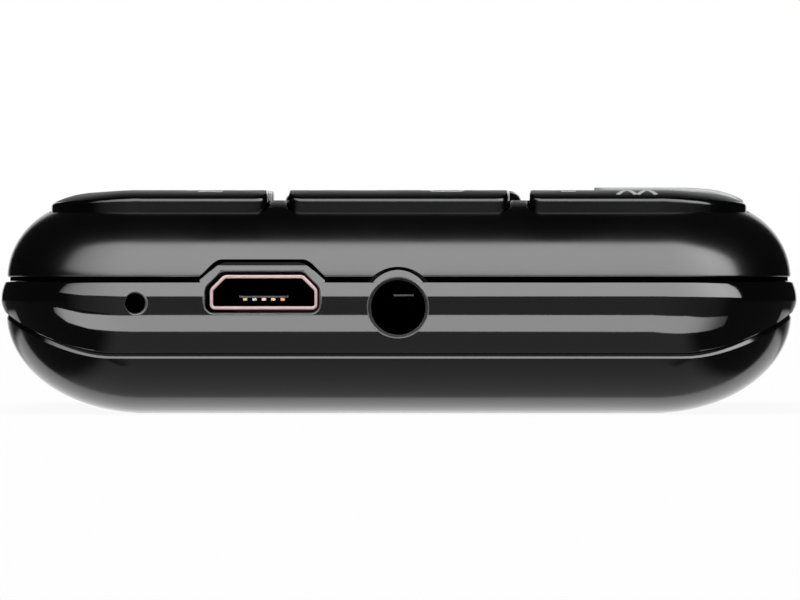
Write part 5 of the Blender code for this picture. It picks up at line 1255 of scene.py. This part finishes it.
LOOKS = {
    "shell": textured("satin_black", (0.0013, 0.0013, 0.0014), 0.2, 0.03, 0.05, 14000.0, ior=1.5, mottling=0.2),
    "band": textured("gloss_black", (0.002, 0.002, 0.0022), 0.05, 0.015, ior=1.5),
    "back": textured("back_black", (0.0022, 0.0022, 0.0024), 0.12, 0.03, 0.03, 14000.0, ior=1.5),
    "key": textured("key_black", (0.0012, 0.0012, 0.0013), 0.12, 0.03, 0.02, 12000.0, ior=1.43),
    "key_top": textured("key_top_black", (0.004, 0.004, 0.0043), 0.34, 0.05, 0.08, 12000.0, specular=0.04),
    "deck": textured("deck_black", (0.004, 0.004, 0.0043), 0.36, 0.05, 0.08, 14000.0, specular=0.04),
    "groove": textured("groove_black", (0.0012, 0.0012, 0.0013), 0.8, 0.05, specular=0.0),
    # light grey painted on the openings' chamfers: a painted highlight where they catch the light
    "edge": textured("chamfer_painted_highlight_grey", (0.075, 0.075, 0.076), 0.3, 0.05, 0.05, 7000.0),
    "light_key": textured("key_grey", (0.54, 0.55, 0.56), 0.28, 0.03, 0.03, 12000.0),
    "print": textured("print_white", (0.44, 0.45, 0.46), 0.45, 0.05),
    "print_green": textured("print_green", (0.05, 0.42, 0.10), 0.4, 0.05),
    "print_red": textured("print_red", (0.55, 0.03, 0.025), 0.4, 0.05),
    "ink": textured("window_ink", (0.003, 0.003, 0.0035), 0.035, 0.01, coat=0.5),
    "screen": textured("window_screen", (0.022, 0.026, 0.030), 0.06, 0.015, coat=0.5),
    "steel": textured("steel", (0.60, 0.60, 0.60), 0.27, 0.06, 0.04, 6000.0, metallic=1.0),
    "usb": textured("usb_steel", (0.37, 0.255, 0.255), 0.45, 0.05, 0.02, 6000.0, metallic=0.35),
    "gold": textured("gold", (0.90, 0.58, 0.28), 0.24, 0.05, metallic=1.0),
    "copper": textured("copper", (0.72, 0.30, 0.20), 0.3, 0.05, metallic=1.0),
    "rose": textured("rose_plating", (0.80, 0.48, 0.50), 0.3, 0.05, metallic=1.0),
    "leaf": textured("leaf_steel", (0.26, 0.23, 0.22), 0.36, 0.06, 0.06, 6000.0, metallic=1.0),
    "dark": textured("dark_plastic", (0.006, 0.006, 0.0065), 0.42, 0.06, 0.1, 7000.0),
    "tongue": textured("tongue_plastic", (0.002, 0.002, 0.002), 0.7, 0.05, 0.05, 7000.0, specular=0.0),
    # a pale mottled grey painted on the tongue's lower chamfer: a painted highlight
    "tongue_edge": textured("tongue_worn_edge", (0.17, 0.165, 0.16), 0.5, 0.1, 0.2, 9000.0, mottling=0.9,
                            drift_scale=5000.0, specular=0.2),
    "rubber": textured("rubber", (0.02, 0.02, 0.022), 0.7, 0.08, 0.15, 6000.0),
    "film": textured("polymer_film", (0.42, 0.24, 0.06), 0.3, 0.05),
    "battery": textured("battery_case", (0.34, 0.35, 0.37), 0.42, 0.05, 0.06, 5000.0),
    "label": textured("battery_label", (0.72, 0.73, 0.74), 0.5, 0.05, 0.05, 5000.0),
    "board": board_look(),
}


def place(made, body, slot, *nodes):
    """Keep a finished piece inside the model's box, give it its body and hide the nodes that it stands for; the slot is
    not used.
    """
    for vert in made.data.vertices:
        for axis in range(3):
            vert.co[axis] = min(max(vert.co[axis], CAD_BOX[0][axis]), CAD_BOX[1][axis])
    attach(made, body)
    if nodes:
        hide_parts(*nodes)
    return made


def repaint(look, *nodes):
    """Give carried-over nodes a better material."""
    for name in nodes:
        mesh = frame["nodes"][name].data
        mesh.materials.clear()
        mesh.materials.append(look)


def add_shells():
    """The three shells."""
    place(front_shell(LOOKS["shell"]), "phone", "front_shell", "front_housing")
    place(mid_frame(LOOKS["band"]), "phone", "frame_band", "mid_frame")
    place(battery_cover(LOOKS["back"]), "battery_cover", "back_shell", "battery_cover")


def add_keys():
    """All the keys, the four-way ring and their prints."""
    signs = {"key_star": "*", "key_hash": "#"}
    for name, limits, radii, proud in key_plans():
        light = name == "key_end"
        body = name
        cap = key_piece(name, limits, radii, proud, LOOKS["light_key" if light else "key"])
        place(cap, body, "light_key" if light else "keys", name)
        base_at = top_of(name, limits, proud)
        middle_x = (limits[0] + limits[1]) / 2
        middle_y = (limits[2] + limits[3]) / 2
        if name[4:].isdigit() or name in signs:
            text = signs.get(name, name[4:])
            size = 7.0 if text != "*" else 9.5
            mark = glyph(text, size, middle_x, middle_y + 0.4, base_at, LOOKS["print"], "print_" + name)
            place(mark, body, "keys")
    extra_prints()
    place(nav_ring(LOOKS["key"]), "nav_ring", "keys", "nav_ring")
    place(ok_key(LOOKS["key"]), "key_ok", "keys", "key_ok")
    top = CROWN_TOP_Z + NAV_PROUD
    for name, x, y, turn in (("up", 0, NAV_CENTRE_Y + 7.0, 90), ("down", 0, NAV_CENTRE_Y - 7.0, -90),
                             ("left", -6.35, NAV_CENTRE_Y, 180), ("right", 6.35, NAV_CENTRE_Y, 0)):
        reach = 1.15 if name in ("up", "down") else 0.75
        corners = []
        for share, angle in ((1.0, 0), (1.0, 125), (1.0, 235)):
            spin = math.radians(turn + angle)
            corners.append((x + reach * share * math.cos(spin), y + reach * share * math.sin(spin)))
        mark = print_on("print_nav_" + name, [corners], lambda x, y: top, LOOKS["print"])
        place(mark, "nav_ring", "keys")


def extra_prints():
    """Small generic signs: a space bar, chevrons, dashes, handsets and soft-key bars."""
    plans = {name: (limits, top_of(name, limits, proud)) for name, limits, _radii, proud in key_plans()}
    front_y = KEYPAD_START_Y + 0.75
    # space bar on 0, chevrons on the hash key, and a dash on the star key, all near the front edge
    bar_y = front_y + 0.9
    shapes = [stroke((2.3, bar_y), (4.4, bar_y), 0.32), stroke((2.3, bar_y), (2.3, bar_y + 0.8), 0.3),
              stroke((4.4, bar_y), (4.4, bar_y + 0.8), 0.3)]
    for index, outline in enumerate(shapes):
        place(print_on(f"print_space_{index}", [outline], plans["key_0"][1], LOOKS["print"]), "key_0", "keys")
    for index, x in enumerate((15.85, 17.25)):
        for side in (-1, 1):
            outline = stroke((x + side * 0.62, front_y - 0.05), (x + side * 0.06, front_y + 1.5), 0.3)
            place(print_on(f"print_chevron_{index}_{side + 1}", [outline], plans["key_hash"][1],
                           LOOKS["print"]), "key_hash", "keys")
    outline = stroke((11.3, bar_y), (12.3, bar_y), 0.35)
    place(print_on("print_dash_hash", [outline], plans["key_hash"][1], LOOKS["print"]), "key_hash", "keys")
    outline = stroke((-13.9, bar_y), (-12.2, bar_y), 0.35)
    place(print_on("print_dash_star", [outline], plans["key_star"][1], LOOKS["print"]), "key_star", "keys")
    for name, look in (("key_call", "print_green"), ("key_end", "print_red")):
        limits, top = plans[name]
        x = (limits[0] + limits[1]) / 2
        y = (limits[2] + limits[3]) / 2
        parts = [arc_band((x, y - 1.9), 2.5, 0.75, 45, 135)]
        for side in (-1, 1):
            centre = (x + side * 1.9, y - 0.35)
            parts.append(box_outline(centre[0] - 0.62, centre[0] + 0.62, centre[1] - 0.65, centre[1] + 0.35, 0.25, 4))
        for index, outline in enumerate(parts):
            made = print_on(f"print_{name}_{index}", [outline], top, LOOKS[look], 0.012 + 0.004 * index)
            place(made, name, "keys")
    for name in ("key_soft_left", "key_soft_right"):
        limits, top = plans[name]
        x = (limits[0] + limits[1]) / 2
        y = (limits[2] + limits[3]) / 2
        made = print_on("print_" + name, [stroke((x - 1.6, y), (x + 1.6, y), 0.55)], top, LOOKS["print"])
        place(made, name, "keys")


def add_ports():
    """The socket, the jack and their insides."""
    place(usb_shell(LOOKS["usb"]), "phone", "usb_steel", "usb_shell")
    tongue, contacts = usb_inside(LOOKS["tongue"], [LOOKS[name] for name in ("gold", "steel", "rose", "copper")])
    place(tongue, "phone", "dark_plastic", "usb_tongue")
    place(contacts, "phone", "gold", "usb_contacts")
    body, spring = jack_barrel(LOOKS["dark"], LOOKS["leaf"])
    place(body, "phone", "dark_plastic", "jack_body")
    place(spring, "phone", "steel", "jack_spring")


def add_rest():
    """The window, the battery, the screws, the volume rocker and the inner pieces."""
    place(window_plate(LOOKS["ink"], LOOKS["screen"]), "phone", "window", "display_window")
    place(battery_pack(LOOKS["battery"], LOOKS["label"]), "battery", "battery_case", "battery")
    label = print_on("battery_print", [box_outline(-15.2, 15.2, BATTERY_START_Y + 5, BATTERY_END_Y - 5, 0.6)],
                     lambda x, y: BATTERY_BOTTOM_Z + 0.008, LOOKS["label"], -0.02)
    place(label, "battery", "battery_case")
    index = 1
    for y in SCREW_YS:
        for side in (-1, 1):
            place(screw_piece(index, side * SCREW_X, y, LOOKS["steel"]), "phone", "steel", f"screw_{index}")
            index += 1
    place(volume_rocker(LOOKS["key"]), "volume_key", "keys", "volume_key")
    repaint(LOOKS["board"], "main_board")
    repaint(LOOKS["film"], "display_flex", "dome_sheet", "antenna")
    repaint(LOOKS["rubber"], "keypad_mat")
    repaint(LOOKS["steel"], "shield_can", "sim_socket", "earpiece_mesh", "vibration_motor", "vibration_weight")
    repaint(LOOKS["groove"], "microphone_boot", "microphone")
    repaint(LOOKS["dark"], "earpiece_receiver", "loudspeaker", "volume_switch")
    repaint(LOOKS["gold"], "battery_contacts")
    repaint(LOOKS["screen"], "display_module")
    repaint(LOOKS["key"], "nav_pivot")


CARD_REACH = 600.0
CARD_CENTRE = Vector((0, -50, 8))
# Studio cards that only reflections show: azimuth from the front towards +X, lowest and highest elevation, level
CARDS = {
    "front_box": ((-74, 16, 42, 0.9), (-69, 15, 48, 2.8), (-62, 13.6, 52, 4.2), (-53, 11.4, 56, 5.1),
                  (-36, 10.2, 60.6, 6.3), (-20, 9.4, 62.4, 6.9), (0, 9.6, 63, 7.0), (20, 8.8, 62.6, 7.1),
                  (35, 7.8, 60.6, 7.7), (52, 6.6, 52, 8.8), (60, 6.0, 47, 8.8), (66, 5.4, 41, 8.2), (71, 4.8, 35, 7.6),
                  (75, 4.4, 26, 6.0)),
    "low_strip": ((-78, -13, -8, 1.2), (-74, -18, -8.5, 3.8), (-69, -24, -10, 5.6), (-60, -29, -13, 6.6),
                  (-53, -32.5, -15.6, 6.9), (-36, -37, -18.6, 6.9), (-20, -39.4, -20.3, 6.6), (0, -40.4, -20.1, 6.5),
                  (30, -41, -20.6, 6.2), (42, -38.5, -21.4, 5.2), (57, -33.5, -19.5, 1.8), (65, -28, -18, 0.8)),
    "front_gap": ((-66, -8, 13.8, 0.03), (-50, -13, 11.2, 0.3), (-20, -19, 9.3, 0.5), (0, -20, 9.5, 0.42),
                  (20, -20, 8.7, 0.34), (52, -19, 6.5, 0.2), (66, -17, 5.3, 0.03)),
    "low_gap": ((-62, -74, -58, 0.04), (-34, -74, -62.5, 0.4), (30, -74, -62.5, 0.4), (62, -74, -58, 0.04)),
}
CARD_ROWS = 9


def studio_card(name, samples):
    """A patch of a sphere round the phone that glows by its level and shows in reflections only."""
    mesh_data = bmesh.new()
    level = mesh_data.verts.layers.float.new("level")
    columns = []
    for azimuth, low, high, glow in samples:
        column = []
        for row in range(CARD_ROWS):
            turn, lift = math.radians(azimuth), math.radians(low + (high - low) * row / (CARD_ROWS - 1))
            way = Vector((math.sin(turn) * math.cos(lift), -math.cos(turn) * math.cos(lift), math.sin(lift)))
            vert = mesh_data.verts.new(CARD_CENTRE + way * CARD_REACH)
            vert[level] = glow
            column.append(vert)
        columns.append(column)
    for left, right in zip(columns, columns[1:]):
        for row in range(CARD_ROWS - 1):
            mesh_data.faces.new((left[row], right[row], right[row + 1], left[row + 1]))
    look = bpy.data.materials.new(name)
    look.use_nodes = True
    nodes, links = look.node_tree.nodes, look.node_tree.links
    nodes.clear()
    glow = nodes.new("ShaderNodeEmission")
    reader = nodes.new("ShaderNodeAttribute")
    reader.attribute_name = "level"
    links.new(reader.outputs["Fac"], glow.inputs["Strength"])
    links.new(glow.outputs["Emission"], nodes.new("ShaderNodeOutputMaterial").inputs["Surface"])
    card = build_mesh(name, mesh_data, [look])
    card.visible_camera = False
    card.visible_diffuse = False
    card.visible_shadow = False
    card.visible_transmission = False
    return card


def floor():
    """A plain white floor that keeps the phone's shadow, and lets the camera see the cover when it is let down."""
    mesh_data = bmesh.new()
    outline = [mesh_data.verts.new(point) for point in lifted(((-6000, -6000), (6000, -6000), (6000, 6000), (-6000, 6000)), FLOOR_Z)]
    mesh_data.faces.new(outline)
    look = bpy.data.materials.new("floor_white")
    look.use_nodes = True
    nodes, links = look.node_tree.nodes, look.node_tree.links
    shader = nodes["Principled BSDF"]
    shader.inputs["Base Color"].default_value = (0.86, 0.86, 0.86, 1)
    shader.inputs["Roughness"].default_value = 0.9
    shader.inputs["Specular IOR Level"].default_value = 0.0
    clear = nodes.new("ShaderNodeBsdfTransparent")
    path = nodes.new("ShaderNodeLightPath")
    share = nodes.new("ShaderNodeMath")
    share.operation = "MULTIPLY"
    share.inputs[1].default_value = FLOOR_CLEAR_SHARE
    links.new(path.outputs["Is Camera Ray"], share.inputs[0])
    mix = nodes.new("ShaderNodeMixShader")
    links.new(share.outputs[0], mix.inputs["Fac"])
    links.new(shader.outputs["BSDF"], mix.inputs[1])
    links.new(clear.outputs["BSDF"], mix.inputs[2])
    links.new(mix.outputs["Shader"], nodes["Material Output"].inputs["Surface"])
    made = build_mesh("floor", mesh_data, [look])
    made.visible_glossy = False


FLOOR_CLEAR_SHARE = 0.93
FLOOR_Z = -0.05
ROOM_LEVEL = 0.55
CEILING_LEVEL = 0.012
BACKDROP_LEVEL = 1.1
TABLE_LEVEL = 0.45


def room():
    """A white background, a plain fill, and for reflections a white backdrop, a grey table and a dark ceiling."""
    world = bpy.data.worlds.new("studio")
    bpy.context.scene.world = world
    world.use_nodes = True
    nodes, links = world.node_tree.nodes, world.node_tree.links
    nodes.clear()

    def soft_step(source, low, high):
        step = nodes.new("ShaderNodeMapRange")
        step.interpolation_type = "SMOOTHSTEP"
        step.inputs["From Min"].default_value = low
        step.inputs["From Max"].default_value = high
        links.new(source, step.inputs["Value"])
        return step.outputs["Result"]

    def sum_up(operation, first, second, third=None):
        made = nodes.new("ShaderNodeMath")
        made.operation = operation
        for slot, source in zip(made.inputs, (first, second, third)):
            if source is None:
                continue
            if isinstance(source, (int, float)):
                slot.default_value = source
            else:
                links.new(source, slot)
        return made.outputs[0]

    def glow(level):
        made = nodes.new("ShaderNodeBackground")
        made.inputs["Color"].default_value = (1, 1, 1, 1)
        if isinstance(level, (int, float)):
            made.inputs["Strength"].default_value = level
        else:
            links.new(level, made.inputs["Strength"])
        return made.outputs[0]

    def either(share, first, second):
        made = nodes.new("ShaderNodeMixShader")
        links.new(share, made.inputs["Fac"])
        links.new(first, made.inputs[1])
        links.new(second, made.inputs[2])
        return made.outputs[0]

    way = nodes.new("ShaderNodeSeparateXYZ")
    links.new(nodes.new("ShaderNodeTexCoord").outputs["Generated"], way.inputs[0])
    across, back, up = way.outputs
    down = sum_up("MULTIPLY", up, -1.0)
    low_part = sum_up("MULTIPLY", soft_step(back, 0.63, 0.66), soft_step(down, 0.14, 0.24))
    beside = sum_up("ABSOLUTE", across, None)
    narrowed = sum_up("MULTIPLY_ADD", beside, -0.42, back)
    high_part = sum_up("MULTIPLY", soft_step(narrowed, 0.83, 0.87), soft_step(down, -0.6, -0.5))
    backdrop = sum_up("MULTIPLY", sum_up("MAXIMUM", low_part, high_part), BACKDROP_LEVEL)
    sideways = soft_step(beside, 0.3, 0.55)
    table = sum_up("MULTIPLY", soft_step(down, 0.0, 0.05), sum_up("MULTIPLY_ADD", sideways, -0.9 * TABLE_LEVEL, TABLE_LEVEL))
    shown = sum_up("MAXIMUM", sum_up("MAXIMUM", backdrop, table), CEILING_LEVEL)

    path = nodes.new("ShaderNodeLightPath")
    lit = either(path.outputs["Is Glossy Ray"], glow(ROOM_LEVEL), glow(shown))
    seen = either(path.outputs["Is Camera Ray"], lit, glow(1.0))
    links.new(seen, nodes.new("ShaderNodeOutputWorld").inputs["Surface"])


def sun(name, azimuth, elevation, strength, spread):
    """An even soft lamp from one side, which gives no highlight of its own."""
    lamp = bpy.data.lights.new(name, "SUN")
    lamp.energy = strength
    lamp.angle = math.radians(spread)
    made = bpy.data.objects.new(name, lamp)
    bpy.context.scene.collection.objects.link(made)
    turn, lift = math.radians(azimuth), math.radians(elevation)
    way = Vector((math.sin(turn) * math.cos(lift), -math.cos(turn) * math.cos(lift), math.sin(lift)))
    made.location = way
    made.rotation_euler = way.to_track_quat("Z", "Y").to_euler()
    made.visible_glossy = False


def lights():
    """The cards that reflections show, and two plain soft lamps."""
    lit = bpy.data.collections.new("lit_by_cards")
    for made in bpy.context.scene.collection.all_objects:
        if made.type == "MESH" and made.name != "window_plate":
            lit.objects.link(made)
    for name, samples in CARDS.items():
        studio_card(name, samples).light_linking.receiver_collection = lit
    sun("high_lamp", -25, 62, 1.1, 50)
    sun("back_lamp", 150, 50, 0.45, 50)


CAMERA_DISTANCE = 1800.0
CAMERA_TURN = math.radians(0.4)
CAMERA_LIFT = math.radians(0.167)
PIXELS_PER_MM = 14.37
IMAGE_WIDTH = 800
IMAGE_HEIGHT = 600
CONTACT_ROW = 413.0
CENTRE_COLUMN = 399.0


def camera():
    """The photograph's view: almost level, from far away, at the ports' end."""
    end = Vector((0, -HALF_LENGTH + CORNER_RADIUS, 0))
    across = -(CENTRE_COLUMN - IMAGE_WIDTH / 2) / PIXELS_PER_MM
    up = (CONTACT_ROW - IMAGE_HEIGHT / 2) / PIXELS_PER_MM
    back = Vector((math.sin(CAMERA_TURN) * math.cos(CAMERA_LIFT), -math.cos(CAMERA_TURN) * math.cos(CAMERA_LIFT),
                   math.sin(CAMERA_LIFT)))
    right = Vector((math.cos(CAMERA_TURN), math.sin(CAMERA_TURN), 0))
    target = end + right * across + Vector((0, 0, up))
    lens = bpy.data.cameras.new("camera")
    lens.lens = PIXELS_PER_MM * CAMERA_DISTANCE * lens.sensor_width / IMAGE_WIDTH
    lens.clip_end = 100
    made = bpy.data.objects.new("camera", lens)
    bpy.context.scene.collection.objects.link(made)
    made.location = (target + back * CAMERA_DISTANCE) * MM
    made.rotation_euler = (-back).to_track_quat("-Z", "Y").to_euler()
    bpy.context.scene.camera = made


bpy.context.scene.view_settings.view_transform = "Standard"
add_shells()
add_keys()
add_ports()
add_rest()
floor()
room()
lights()
camera()
